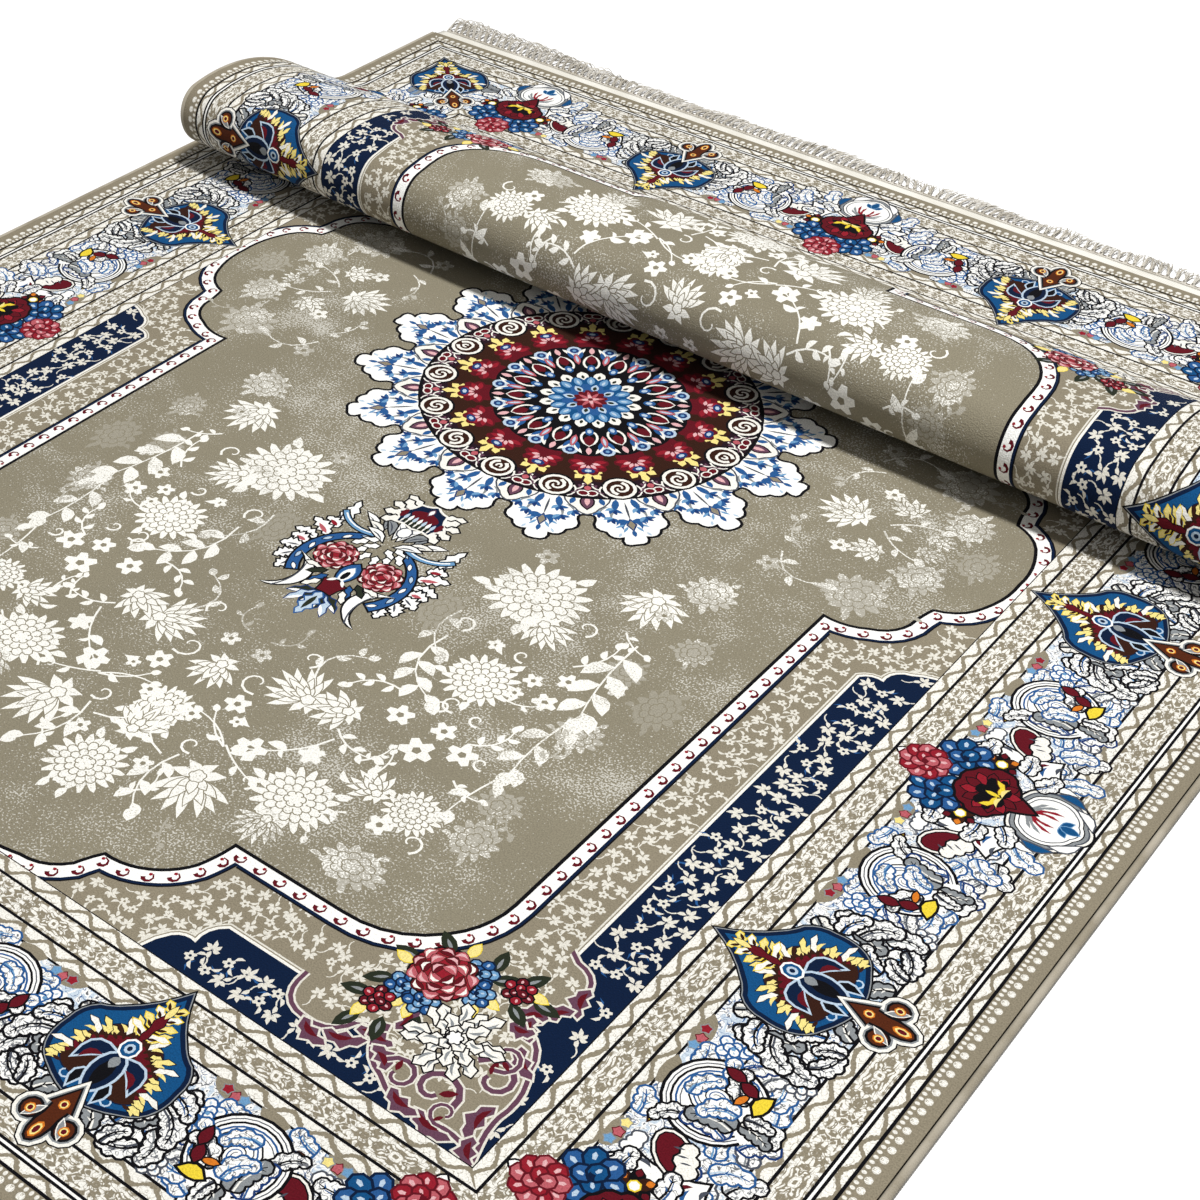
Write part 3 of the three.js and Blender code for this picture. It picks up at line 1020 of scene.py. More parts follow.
    def field_flowers(self, d: Drawing) -> None:
        """Paints the worn flowers, leaves and stems of the open field.

        Args:
            d: the drawing to paint in.
        """
        mums = [  # x, along, size, squash, turn, wear
            (0.25, 0.5, 0.078, 0.95, 0, 0.16), (0.262, 1.065, 0.062, 0.9, 20, 0.05),
            (0.302, 0.71, 0.054, 1.0, 0, 0.0), (0.398, 0.985, 0.042, 0.95, 30, 0.08),
            (0.0, 1.195, 0.056, 1.0, 0, 0.1), (0.0, 1.055, 0.058, 0.7, 90, 0.02),
            (0.475, 0.715, 0.036, 1.0, 0, 0.5), (0.49, 0.972, 0.034, 1.15, 0, 0.5),
            (0.4, 1.112, 0.048, 0.75, 0, 0.42), (0.61, 0.185, 0.05, 1.0, 0, 0.5),
            (0.665, 0.085, 0.037, 1.1, 0, 0.45), (0.445, 0.325, 0.04, 1.0, 0, 0.4),
            (0.475, 0.9, 0.03, 1.0, 0, 0.62), (0.45, 0.56, 0.03, 1.0, 0, 0.66),
            (0.5, 0.46, 0.028, 1.2, 0, 0.6), (0.16, 0.62, 0.03, 1.5, 0, 0.76),
            (0.72, 0.0, 0.032, 1.2, 0, 0.68), (0.53, 0.60, 0.034, 1.4, 0, 0.78),
        ]
        for x, q, size, squash, turn, wear in mums:
            d.mum(CARD.sub(x, q, turn, size, squash), wear)
        fans = [(0.395, 0.395, 78, 0.062, 80, 9, 0.1), (0.14, 0.9, 200, 0.062, 72, 9, 0.02),
                (0.2, 0.885, 150, 0.05, 70, 7, 0.0), (0.135, 1.12, 66, 0.07, 58, 7, 0.08),
                (0.3, 0.55, 40, 0.052, 60, 7, 0.05), (0.51, 0.0, 180, 0.058, 82, 9, 0.2),
                (0.335, 0.985, 205, 0.042, 70, 7, 0.0), (0.258, 1.12, 90, 0.045, 80, 9, 0.3),
                (0.575, 0.065, 140, 0.036, 90, 7, 0.25), (0.0, 0.925, 90, 0.05, 62, 7, 0.02),
                (0.0, 1.1, 270, 0.05, 60, 7, 0.02), (0.64, 0.02, 0, 0.03, 50, 5, 0.4)]
        for x, q, turn, size, spread, n, wear in fans:
            d.fan(CARD.sub(x, q, turn, size), wear, spread, n)
        florets = [(0.262, 0.842, 0.022, 0.0), (0.33, 0.83, 0.02, 0.0), (0.378, 0.852, 0.024, 0.0),
                   (0.325, 0.885, 0.027, 0.0), (0.15, 1.03, 0.026, 0.0), (0.222, 0.985, 0.02, 0.0),
                   (0.378, 1.03, 0.02, 0.0), (0.075, 0.972, 0.021, 0.0), (0.04, 1.028, 0.017, 0.05),
                   (0.272, 0.632, 0.014, 0.1), (0.36, 0.662, 0.016, 0.05), (0.4, 0.632, 0.018, 0.05),
                   (0.4, 0.69, 0.02, 0.1), (0.355, 0.7, 0.014, 0.1), (0.46, 0.6, 0.018, 0.3),
                   (0.03, 0.87, 0.016, 0.3), (0.06, 1.145, 0.016, 0.1), (0.1, 1.0, 0.012, 0.1),
                   (0.53, 0.088, 0.018, 0.2), (0.47, 0.2, 0.02, 0.5), (0.42, 0.415, 0.016, 0.4),
                   (0.205, 0.41, 0.02, 0.5)]
        for k, (x, q, size, wear) in enumerate(florets):
            d.floret(CARD.sub(x, q, 40 * k, size), Ink.CREAM, Ink.FIELD, wear)
        sprigs = [  # x, along, turn, length, bend, leaves, wear
            (0.205, 0.66, 62, 0.15, 0.22, 7, 0.12), (0.235, 0.8, 152, 0.08, 0.2, 5, 0.05),
            (0.37, 0.83, -62, 0.075, 0.2, 5, 0.0), (0.28, 0.95, -70, 0.05, 0.1, 3, 0.0),
            (0.385, 0.6, -70, 0.085, 0.12, 5, 0.05), (0.4, 0.485, 30, 0.06, 0.1, 3, 0.05),
            (0.345, 0.72, -20, 0.06, 0.15, 3, 0.05), (0.4, 0.9, 10, 0.055, 0.15, 3, 0.1),
            (0.215, 0.92, 12, 0.08, 0.15, 5, 0.0), (0.31, 0.96, -95, 0.05, 0.1, 3, 0.0),
            (0.065, 1.115, -118, 0.09, -0.3, 3, 0.02), (0.12, 1.05, 205, 0.08, 0.1, 1, 0.0),
            (0.12, 1.045, 24, 0.08, 0.05, 3, 0.0), (0.12, 1.05, -140, 0.075, -0.1, 1, 0.0),
            (0.085, 1.1, 78, 0.12, 0.16, 5, 0.1), (0.12, 0.86, -70, 0.09, -0.3, 3, 0.3),
            (0.43, 0.5, 82, 0.19, 0.04, 7, 0.15), (0.455, 0.68, 92, 0.16, 0.05, 5, 0.25),
            (0.45, 0.84, 100, 0.12, 0.04, 3, 0.2), (0.46, 0.8, -88, 0.07, 0.2, 5, 0.45),
            (0.225, 0.94, 130, 0.12, -0.1, 3, 0.0), (0.47, 0.16, 20, 0.1, 0.3, 3, 0.3),
            (0.565, 0.01, 28, 0.085, 0.1, 3, 0.3), (0.49, 0.135, -120, 0.08, -0.2, 3, 0.4),
            (0.07, 1.2, -70, 0.06, 0.3, 3, 0.05), (0.33, 1.04, 100, 0.07, 0.3, 1, 0.2),
            (0.02, 0.84, -60, 0.06, 0.3, 3, 0.5), (0.5, 0.88, 70, 0.06, 0.2, 3, 0.6),
            (0.185, 0.6, 70, 0.11, 0.2, 3, 0.4), (0.66, 0.17, 10, 0.05, 0.2, 3, 0.6),
            (0.63, 0.11, 80, 0.035, 0.1, 3, 0.4), (0.16, 1.2, 60, 0.05, 0.1, 3, 0.6),
        ]
        for x, q, turn, long, bend, leaves, wear in sprigs:
            d.sprig(CARD.sub(x, q, turn, long), wear, leaves, bend, 0.0034 / long)
        curls = [(0.317, 0.628, 0.015, 0), (0.292, 0.79, 0.014, 1), (0.352, 0.783, 0.014, 0),
                 (0.35, 0.515, 0.02, 1), (0.305, 0.775, 0.02, 0), (0.205, 0.62, 0.02, 1),
                 (0.065, 0.92, 0.026, 0), (0.43, 1.03, 0.02, 1), (0.085, 1.075, 0.018, 0),
                 (0.19, 1.08, 0.016, 1), (0.41, 0.85, 0.014, 0), (0.09, 0.83, 0.02, 1)]
        for x, q, size, flip in curls:
            d.curl(CARD.sub(x, q, 60, size, 1.0, bool(flip)), 0.0042 / size, 0.85, 0.05)
        for k, (x, q, tall) in enumerate(((0.28, 0.535, 0.05), (0.275, 0.62, 0.03), (0.275, 0.98, 0.028),
                                          (0.31, 0.94, 0.034), (0.185, 1.0, 0.02), (0.1, 0.985, 0.024))):
            d.fill(CARD.sub(x, q, 80 - 25 * (k % 3)), leaf(tall, tall * 0.36, 0.2), Ink.CREAM, 0.02)

    # -- corners

    def sprinkle(self, d: Drawing, inside: Callable[[float, float], bool], box: Sequence[float], pitch: float,
                 ink: Ink, heart: Ink, size: float, twig: Ink | None = None) -> None:
        """Scatters small flowers and leaves over a ground.

        Args:
            d: the drawing to paint in.
            inside: says whether a place is on the ground.
            box: lowest and highest x, lowest and highest place along.
            pitch: distance between flowers.
            ink: the flowers' yarn.
            heart: the yarn of their hearts.
            size: radius of a flower.
            twig: the yarn of small twigs between them.
        """
        rng = np.random.default_rng(self.seed)
        for row, q in enumerate(np.arange(box[2], box[3], pitch)):
            for x in np.arange(box[0] + (row % 2) * pitch / 2, box[1], pitch):
                dx, dq, turn, kind = rng.uniform(-1, 1, 4)
                x1, q1 = x + dx * pitch * 0.16, q + dq * pitch * 0.16
                if not inside(x1, q1):
                    continue
                spot = CARD.sub(x1, q1, turn * 180, size)
                if twig and kind > 0.2:
                    d.fill(spot.sub(1.2, 0.4, 100), leaf(2.4, 0.4, 0.25, 0, 3), twig)
                if kind > 0.35:
                    d.floret(spot, ink, heart)
                    for side in (-1, 1):
                        d.fill(spot.sub(0.5, 0.6 * side, 40 * side + 20), leaf(1.7, 0.6, 0.2 * side, 0, 3),
                               ink)
                else:
                    for t, long in ((0, 1.9), (46, 1.5), (-46, 1.5), (96, 1.2), (-96, 1.2), (180, 1.5)):
                        d.fill(spot.sub(0, 0, t).sub(0.12, 0), leaf(long, 0.72, 0.1, 0, 3), ink)
                    d.fill(spot.sub(-1.6, 0, 150), ribbon(bow(2.0, 1.4, 4), 0.26, 0.16), ink)

    def on_spandrel(self, x: float, q: float) -> bool:
        """Says whether a place lies outside the band and its width.

        Args:
            x: the place across.
            q: the place along.

        Returns:
            True on the corner ground.
        """
        if self.edge is None:
            self.edge = self.band_edge()
        near = np.min(np.linalg.norm(self.edge - np.array([x, q]), axis=1))
        outside = x > 0.63 + (0.1 if q < 0.25 else 0) or q > 1.2
        return bool(outside and near > 0.042 and not (x > 0.695 and 0.33 < q < 1.07))

    def spandrel(self, d: Drawing) -> None:
        """Paints the beige corner ground with its small pale flowers."""
        self.sprinkle(d, self.on_spandrel, (0.03, 0.80, 0.17, 1.385), 0.0235, Ink.PALE, Ink.GUARD, 0.0072)

    def panel_edges(self) -> tuple[Outline, Outline]:
        """Gives the navy panel's own corner and the beige cartouche that is cut from it.

        Returns:
            The panel's outline and the cartouche's.
        """
        panel = chain([(0.83, 0.283), (0.766, 0.3), (0.757, 0.303), (0.742, 0.338), (0.71, 0.35),
                       (0.71, 1.32), (0.6, 1.32), (0.6, 1.293), (0.352, 1.293), (0.336, 1.337),
                       (0.305, 1.347), (0.292, 1.42), (0.9, 1.42), (0.9, 0.283)],
                      [-0.1, 0, -0.16, -0.16, 0, 0, 0, 0, -0.16, -0.16, -0.12, 0, 0, 0], 4)
        cut = chain([(0.69, 1.045), (0.715, 1.062), (0.75, 1.1), (0.722, 1.15), (0.712, 1.185),
                     (0.766, 1.235), (0.778, 1.31), (0.79, 1.37), (0.73, 1.36), (0.64, 1.346), (0.6, 1.298),
                     (0.567, 1.302), (0.515, 1.337), (0.475, 1.3), (0.475, 1.25), (0.6, 1.0)],
                    [0, 0.22, 0.2, -0.1, 0.2, 0.1, -0.06, -0.08, 0.14, 0.16, -0.06, 0.2, 0.22, 0, 0, 0], 5)
        return panel, cut

    def side_panel(self, d: Drawing) -> None:
        """Paints the navy panels with their white flowers and pale edge.

        Args:
            d: the drawing to paint in.
        """
        panel, cut = self.panel_edges()
        for by, ink in ((0.0085, Ink.PALE), (0.006, Ink.GUARD), (0.0042, Ink.IVORY), (0.0, Ink.NAVY)):
            d.fill(CARD, grown(panel, by), ink)

        def navy(x: float, q: float) -> bool:
            """Says whether a place is well inside the navy.

            Args:
                x: the place across.
                q: the place along.

            Returns:
                True on the navy ground.
            """
            side = 0.722 < x < 0.788 and 0.345 < q < 1.06
            end = 0.36 < x < 0.47 and 1.308 < q < 1.372
            low = 0.32 < x < 0.76 and 1.355 < q < 1.376
            return side or end or low or (0.776 < x < 0.79 and 0.3 < q < 1.37)

        self.sprinkle(d, navy, (0.33, 0.8, 0.305, 1.385), 0.0285, Ink.PALE, Ink.NAVY, 0.0088, Ink.BLUE)
        for by, ink in ((0.009, Ink.PALE), (0.006, Ink.MAUVE), (0.0, Ink.PALE), (-0.0028, Ink.GUARD)):
            d.fill(CARD, grown(cut, by), ink)
        d.fill(CARD, points((0.4, 0.99), (0.7, 0.99), (0.7, 1.284), (0.4, 1.284)), Ink.GUARD)
        self.sprinkle(d, lambda x, q: self.on_spandrel(x, q) and x < 0.735 and (q < 1.275 or x > 0.5),
                      (0.4, 0.74, 0.996, 1.325), 0.0235, Ink.PALE, Ink.GUARD, 0.0072)

    def corner(self, d: Drawing) -> None:
        """Paints the curling mauve leaves of the corner cartouche.

        Args:
            d: the drawing to paint in.
        """
        leaves = [(0.752, 1.085, 74, 0.05), (0.757, 1.125, 118, 0.055), (0.74, 1.155, 150, 0.04),
                  (0.724, 1.165, 60, 0.04), (0.708, 1.19, -10, 0.034), (0.515, 1.34, 20, 0.05),
                  (0.545, 1.34, -22, 0.055), (0.575, 1.315, -50, 0.042), (0.585, 1.3, 10, 0.04),
                  (0.61, 1.285, -96, 0.05), (0.77, 1.3, 88, 0.06), (0.775, 1.35, 60, 0.045),
                  (0.7, 1.36, 10, 0.06), (0.64, 1.34, -150, 0.04), (0.66, 1.355, 14, 0.05),
                  (0.74, 1.21, 40, 0.05)]
        for x, q, turn, long in leaves:
            at = CARD.sub(x, q, turn)
            d.lined(at, leaf(long, 0.022, 0.15, 3), Ink.MAUVE, Ink.PALE, 0.002)
            d.fill(at.sub(0.006, 0.001), leaf(long * 0.6, 0.008, 0.15), Ink.MAROON)
        for x, q, size, turn, flip in ((0.744, 1.27, 0.033, 200, False), (0.7, 1.325, 0.034, 20, True),
                                       (0.736, 1.235, 0.024, 90, True), (0.655, 1.335, 0.026, 200, False),
                                       (0.73, 1.345, 0.02, 60, False)):
            spot = CARD.sub(x, q, turn, size, 1.0, flip)
            line = spiral(1, 0.25, 0.95, 12)
            d.fill(spot, ribbon(line, 0.42, 0.34), Ink.PALE)
            d.fill(spot, ribbon(line, 0.26, 0.18), Ink.MAUVE)
            d.fill(spot.sub(0.25, 0, 60), leaf(0.7, 0.3), Ink.MAROON)

    def corner_bouquet(self, d: Drawing) -> None:
        """Paints the peony bouquet of each corner, over the band's edge.

        Args:
            d: the drawing to paint in.
        """
        for x, q, turn in ((0.582, 1.14, 215), (0.645, 1.128, 260), (0.556, 1.18, 180), (0.69, 1.125, 300),
                           (0.55, 1.228, 140), (0.622, 1.262, 80), (0.59, 1.29, 70), (0.542, 1.262, 160),
                           (0.7, 1.17, 30), (0.66, 1.145, 320), (0.72, 1.145, 0), (0.557, 1.3, 110)):
            at = CARD.sub(x, q, turn)
            d.fill(at.sub(-0.012, 0), leaf(0.042, 0.02), Ink.MOSS)
            d.fill(at.sub(-0.004, 0), leaf(0.02, 0.005), Ink.GREY)
        for x, q, turn in ((0.608, 1.138, 268), (0.66, 1.178, 10), (0.655, 1.192, 60), (0.588, 1.238, 112),
                           (0.6, 1.24, 78), (0.56, 1.19, 190), (0.7, 1.137, 0), (0.557, 1.275, 95)):
            d.lined(CARD.sub(x, q, turn), leaf(0.026, 0.014), Ink.YELLOW, Ink.GOLD, 0.001)
        for x, q, size in ((0.635, 1.15, 0.022), (0.65, 1.178, 0.022), (0.575, 1.226, 0.022),
                           (0.606, 1.23, 0.022)):
            d.cluster(CARD.sub(x, q, 20, size), (Ink.BLUE, Ink.SKY, Ink.ICE, Ink.NAVY), 6, Ink.NAVY, 0.0018)
        for x, q, size in ((0.688, 1.143, 0.021), (0.564, 1.262, 0.021)):
            d.cluster(CARD.sub(x, q, 60, size), (Ink.RED, Ink.MAROON, Ink.PINK, Ink.MAROON), 6, Ink.BLACK,
                      0.0016)
        self.rose(d, CARD.sub(0.6, 1.18, 10, 0.042))
        for ring, (reach, n, long) in enumerate(((0.038, 13, 0.034), (0.024, 9, 0.027), (0.01, 5, 0.021))):
            for k in range(n):
                turn = 360 / n * (k + 0.37 * ring) + 9 * math.sin(2.7 * k)
                out = reach * (1.15 if abs(turn - 180) > 60 else 0.9)
                at = CARD.sub(0.672, 1.25, 55).sub(0, 0, turn).sub(out, 0)
                size = long * (1 + 0.16 * math.sin(3.1 * k + ring))
                d.lined(at.sub(-0.014, 0), leaf(size, 0.017, 0.1 * math.sin(2 * k), 2, 4, 0.6), Ink.IVORY,
                        Ink.BLACK, 0.0015)
                d.fill(at.sub(-0.01, -0.003, 8), leaf(size * 0.7, 0.004, 0.15), Ink.GREY)
        d.lined(CARD.sub(0.672, 1.25), blossom(6, 0.3, 3) * 0.01, Ink.WHITE, Ink.BLACK, 0.0014)


@dataclass
class BorderDesign:
    """The guards, the main border's repeat and the lace edge round the field."""

    main_side: float = 0.887
    main_end: float = 1.472
    side_run: float = 0.45
    end_run: float = 0.392

    # guard lines, measured outwards from the field's edge: side place, end place, ink, thickness
    lines: tuple[tuple[float, float, Ink, float], ...] = (
        (0.7985, 1.3825, Ink.BLACK, 0.0042), (0.8225, 1.4068, Ink.BLACK, 0.0042),
        (0.8665, 1.4482, Ink.BLACK, 0.0042), (0.887, 1.472, Ink.BLACK, 0.0034),
        (1.0395, 1.624, Ink.BLACK, 0.0040), (1.0635, 1.647, Ink.BLACK, 0.0042),
        (1.1045, 1.6895, Ink.BLACK, 0.0040), (1.1118, 1.6968, Ink.BLACK, 0.0040),
        (1.1305, 1.7145, Ink.BLACK, 0.0044),
    )
    # grounds between those lines: side from and to, end from and to, weave
    bands: tuple[tuple[float, float, float, float, Lace], ...] = (
        (0.799, 0.8225, 1.383, 1.4068, Lace.NARROW), (0.8225, 0.8665, 1.4068, 1.4482, Lace.WIDE),
        (0.8665, 0.887, 1.4482, 1.472, Lace.NARROW), (0.887, 1.0395, 1.472, 1.624, Lace.SCROLL),
        (1.0395, 1.0635, 1.624, 1.647, Lace.NARROW), (1.0635, 1.1045, 1.647, 1.6895, Lace.WIDE),
        (1.1045, 1.1125, 1.6895, 1.6975, Lace.NONE), (1.1125, 1.1315, 1.6975, 1.7155, Lace.NARROW),
        (1.1315, 1.153, 1.7155, 1.738, Lace.DOTS), (1.153, 1.3, 1.738, 1.9, Lace.NONE),
    )

    def draw(self) -> Drawing:
        """Paints a quarter of the border.

        Returns:
            The drawing.
        """
        d = Drawing()
        d.ground(points((-1, -1), (3, -1), (3, 3), (-1, 3)), Ink.GUARD)
        for x0, x1, q0, q1, lace in self.bands:
            white = lace is Lace.SCROLL or (lace is Lace.NONE and x1 < 1.12)
            ink = Ink.WHITE if white else Ink.GUARD
            side = points((x0, -1), (x1, -1), (x1, q1), (x0, q0))
            end = points((-1, q0), (x0, q0), (x1, q1), (-1, q1))
            d.ground(side, ink, lace, (x0 + x1) / 2, True)
            d.ground(end, ink, lace, (q0 + q1) / 2, False)
        for x, q, ink, thick in self.lines:
            a = thick / 2
            d.fill(CARD, points((x - a, -1), (x + a, -1), (x + a, q + a), (x - a, q - a)), ink)
            d.fill(CARD, points((-1, q - a), (x - a, q - a), (x + a, q + a), (-1, q + a)), ink)
        runs = [(self.side(0.45), -self.side_run), (self.side(0.45), self.side_run),
                (self.side(1.35), -self.side_run), (self.end(0.0), self.end_run),
                (self.end(0.784), -self.end_run)]
        for spot, long in runs:
            self.run(d, spot, long)
        self.bend(d)
        for spot in (self.side(0.45), self.side(1.35), self.end(0.0), self.end(0.784)):
            self.bouquet(d, spot)
        for spot in (self.side(0.0), self.side(0.9), self.end(0.392)):
            self.cartouche(d, spot)
        corner = CARD.sub(0.958, 1.537, 47, 0.92)
        self.cartouche(d, corner.sub(0.065, 0, 180).sub(-0.03, 0))
        return d

    def side(self, q: float) -> Spot:
        """Gives the border's own place on a side: X outwards from the main border's inner line."""
        return CARD.sub(self.main_side, q)

    def end(self, x: float) -> Spot:
        """Gives the border's own place on an end."""
        return CARD.sub(x, self.main_end, 90, 1.0, 1.0, True)

    def run(self, d: Drawing, spot: Spot, long: float) -> None:
        """Paints the scrolls between a bouquet and the next cartouche.

        Args:
            d: the drawing to paint in.
            spot: the bouquet's place.
            long: distance to the cartouche, minus if it lies the other way.
        """
        go, stretch = (1 if long > 0 else -1), abs(long) / 0.45

        def at(a: float, t: float, turn: float = 0.0, size: float = 1.0) -> Spot:
            """Places a motif a across and t along the run."""
            return spot.sub(a, t * stretch * go, turn * go, size, 1.0, go < 0)

        for t, size in ((0.085, 0.05), (0.2, 0.05), (0.27, 0.06)):
            patch = chain([(0, t), (0.013, t + 0.006), (0.017, t + size * 0.6), (0, t + size)], 0.12, 3)
            patch = patch * [1, stretch]
            d.fill(at(0, 0), patch, Ink.GUARD)
        for a, t, ink in ((0.009, 0.112, Ink.ROSE), (0.006, 0.098, Ink.SKY), (0.008, 0.288, Ink.ROSE),
                          (0.005, 0.304, Ink.RED), (0.006, 0.274, Ink.SKY), (0.009, 0.128, Ink.YELLOW)):
            line = Ink.MAROON if ink is Ink.ROSE else Ink.GREY
            d.lined(at(a, t, 0, 0.0075), blossom(5, 0.3, 2), ink, line, 0.001)
        # pale sprays on both sides of the roundel
        for k, (a, t, turn, long, bend) in enumerate((
                (0.146, 0.07, 60, 0.06, -1.2), (0.126, 0.08, 74, 0.05, 0.9), (0.104, 0.092, 92, 0.05, 0.8),
                (0.148, 0.118, 78, 0.05, -1.1), (0.122, 0.128, 60, 0.05, -1.2), (0.112, 0.15, 100, 0.04, 1.0),
                (0.146, 0.165, 104, 0.04, 1.0), (0.128, 0.178, 76, 0.05, -1.6), (0.148, 0.2, 84, 0.045, 1.2),
                (0.142, 0.235, 100, 0.05, 1.0), (0.124, 0.252, 62, 0.05, 1.2), (0.1, 0.272, 86, 0.045, -1.2),
                (0.07, 0.276, 70, 0.05, -1.0), (0.046, 0.27, 60, 0.045, 1.0), (0.025, 0.25, 70, 0.04, 1.0),
                (0.012, 0.15, 90, 0.04, 0.8))):
            ink, line, vein = ((Ink.WHITE, Ink.BLUE, Ink.SKY), (Ink.WHITE, Ink.SLATE, Ink.GREY),
                               (Ink.WHITE, Ink.INDIGO, Ink.BLUE), (Ink.WHITE, Ink.BLACK, Ink.GREY),
                               (Ink.WHITE, Ink.BLUE, Ink.ICE))[k % 5]
            d.acanthus(at(a, t, turn), long, 0.021, bend, ink, line, vein, 3, 0.0022)
        for a, t, size, line in ((0.046, 0.298, 0.02, Ink.BLUE), (0.112, 0.318, 0.018, Ink.BLUE),
                                 (0.136, 0.3, 0.017, Ink.SLATE), (0.07, 0.315, 0.016, Ink.BLUE),
                                 (0.125, 0.1, 0.013, Ink.BLUE)):
            d.cluster(at(a, t, 0, size), (Ink.WHITE, Ink.WHITE, Ink.ICE, Ink.SKY), 5, line, 0.002)
        # white wing beside the bouquet
        wing = chain([(0.03, 0.055), (0.018, 0.08), (0.034, 0.106), (0.08, 0.1), (0.128, 0.116),
                      (0.142, 0.078), (0.125, 0.05), (0.08, 0.07)], 0.08, 3) * [1, stretch]
        d.lined(at(0, 0), wing, Ink.WHITE, Ink.BLACK, 0.0026)
        for a, t, turn, long, ink in ((0.03, 0.08, 40, 0.022, Ink.BLUE), (0.045, 0.094, 0, 0.02, Ink.SLATE),
                                      (0.105, 0.085, 60, 0.02, Ink.MAROON),
                                      (0.118, 0.075, 100, 0.022, Ink.BLUE),
                                      (0.13, 0.09, 80, 0.02, Ink.SLATE), (0.09, 0.08, 200, 0.02, Ink.RED)):
            d.fill(at(a, t, turn), leaf(long, 0.006, 0.2), ink)
        # maroon bud in a double ring
        bud = at(0.074, 0.126, -40)
        for long, wide, ink in ((0.038, 0.026, Ink.BLACK), (0.035, 0.023, Ink.IVORY),
                                (0.032, 0.02, Ink.BLACK), (0.030, 0.018, Ink.MAROON)):
            d.fill(bud, oval(14, long, wide), ink)
        d.lined(bud.sub(0.036, 0.004, 172), frond(0.05, 0.02, -0.6, 3), Ink.IVORY, Ink.BLACK, 0.002)
        for t in (-0.006, 0.006, 0.016):
            d.fill(bud.sub(t - 0.004, 0.003, 60), leaf(0.014, 0.003), Ink.SLATE)
        d.lined(at(0.03, 0.128, -70), frond(0.034, 0.014, -1.2, 3), Ink.WHITE, Ink.SLATE, 0.002)
        d.lined(at(0.026, 0.148, 60), leaf(0.022, 0.012, 0.3), Ink.GOLD, Ink.COCOA, 0.002)
        # roundel: rings left open on one side, then leaves that swirl inside
        wheel = at(0.071, 0.218)
        d.fill(wheel, oval(24) * 0.063, Ink.WHITE)
        for size, ink, wide in ((0.0635, Ink.BLACK, 0.0042), (0.0575, Ink.SLATE, 0.0016),
                                (0.052, Ink.BLACK, 0.003), (0.046, Ink.BLUE, 0.0026),
                                (0.041, Ink.SLATE, 0.0014)):
            d.fill(wheel, ribbon(spiral(size, size * 0.97, 0.8, 20, 40), wide, wide), ink)
        for start, turns, wide, ink in ((0.037, 1.6, 0.0026, Ink.BLACK), (0.031, 1.4, 0.0024, Ink.BLUE),
                                        (0.026, 1.2, 0.0018, Ink.SLATE)):
            swirl = spiral(start, start * 0.16, turns, 24, 60)
            d.fill(wheel.sub(-0.004, 0.004), ribbon(swirl, wide, wide * 0.6), ink)
        for x, y, turn, long, wide, bend, ink, line, vein in (
                (-0.012, -0.036, 178, 0.05, 0.016, 1.5, Ink.WHITE, Ink.BLACK, Ink.SLATE),
                (-0.03, -0.006, 100, 0.05, 0.016, -1.6, Ink.WHITE, Ink.BLUE, Ink.SKY),
                (0.03, 0.04, 190, 0.06, 0.02, -1.5, Ink.WHITE, Ink.BLUE, Ink.SKY),
                (0.03, 0.022, 170, 0.055, 0.02, -1.9, Ink.WHITE, Ink.BLACK, Ink.SLATE),
                (0.036, -0.036, 150, 0.06, 0.02, 1.3, Ink.WHITE, Ink.INDIGO, Ink.BLUE),
                (0.036, -0.02, 160, 0.06, 0.024, 1.3, Ink.GREY, Ink.BLACK, Ink.IVORY),
                (0.03, 0.0, 170, 0.05, 0.02, 1.6, Ink.WHITE, Ink.BLUE, Ink.SKY),
                (0.04, -0.01, 10, 0.044, 0.016, -0.8, Ink.GREY, Ink.BLACK, Ink.IVORY),
                (0.04, 0.0, 25, 0.036, 0.014, -0.7, Ink.WHITE, Ink.BLACK, Ink.SLATE)):
            d.acanthus(wheel.sub(x, y, turn), long, wide, bend, ink, line, vein, 4, 0.0022)
        d.lined(wheel.sub(0.044, 0.012, 80), leaf(0.034, 0.018, 0.1), Ink.GOLD, Ink.BLACK, 0.0026)
        d.lined(wheel.sub(0.018, 0.012, 70), leaf(0.022, 0.009), Ink.ORANGE, Ink.BLACK, 0.0015)
        for x, y, turn in ((0.034, 0.036, 160), (0.012, 0.048, 172)):
            d.lined(wheel.sub(x, y, turn), leaf(0.028, 0.015), Ink.MAROON, Ink.BLACK, 0.0018)
        # leaves before the cartouche
        for a, t, turn, long, wide, bend, ink, vein in (
                (0.148, 0.35, 190, 0.06, 0.026, -1.5, Ink.WHITE, Ink.SKY),
                (0.13, 0.33, 30, 0.05, 0.02, 1.2, Ink.WHITE, Ink.SLATE),
                (0.1, 0.33, -60, 0.055, 0.024, 1.6, Ink.WHITE, Ink.GREY),
                (0.062, 0.322, 60, 0.06, 0.022, -1.0, Ink.GREY, Ink.IVORY),
                (0.07, 0.345, -80, 0.062, 0.026, 1.5, Ink.WHITE, Ink.SLATE),
                (0.034, 0.336, -50, 0.036, 0.02, 1.3, Ink.WHITE, Ink.SLATE),
                (0.015, 0.352, 30, 0.05, 0.018, 0.8, Ink.IVORY, Ink.GREY),
                (0.148, 0.4, 160, 0.045, 0.018, -1.0, Ink.GREY, Ink.IVORY),
                (0.12, 0.385, 190, 0.05, 0.02, 1.2, Ink.WHITE, Ink.BLUE),
                (0.05, 0.355, -100, 0.05, 0.02, 1.3, Ink.WHITE, Ink.BLUE),
                (0.152, 0.375, 178, 0.04, 0.016, 1.2, Ink.WHITE, Ink.SLATE)):
            d.acanthus(at(a, t, turn), long, wide, bend, ink, Ink.BLACK, vein, 4, 0.0026)

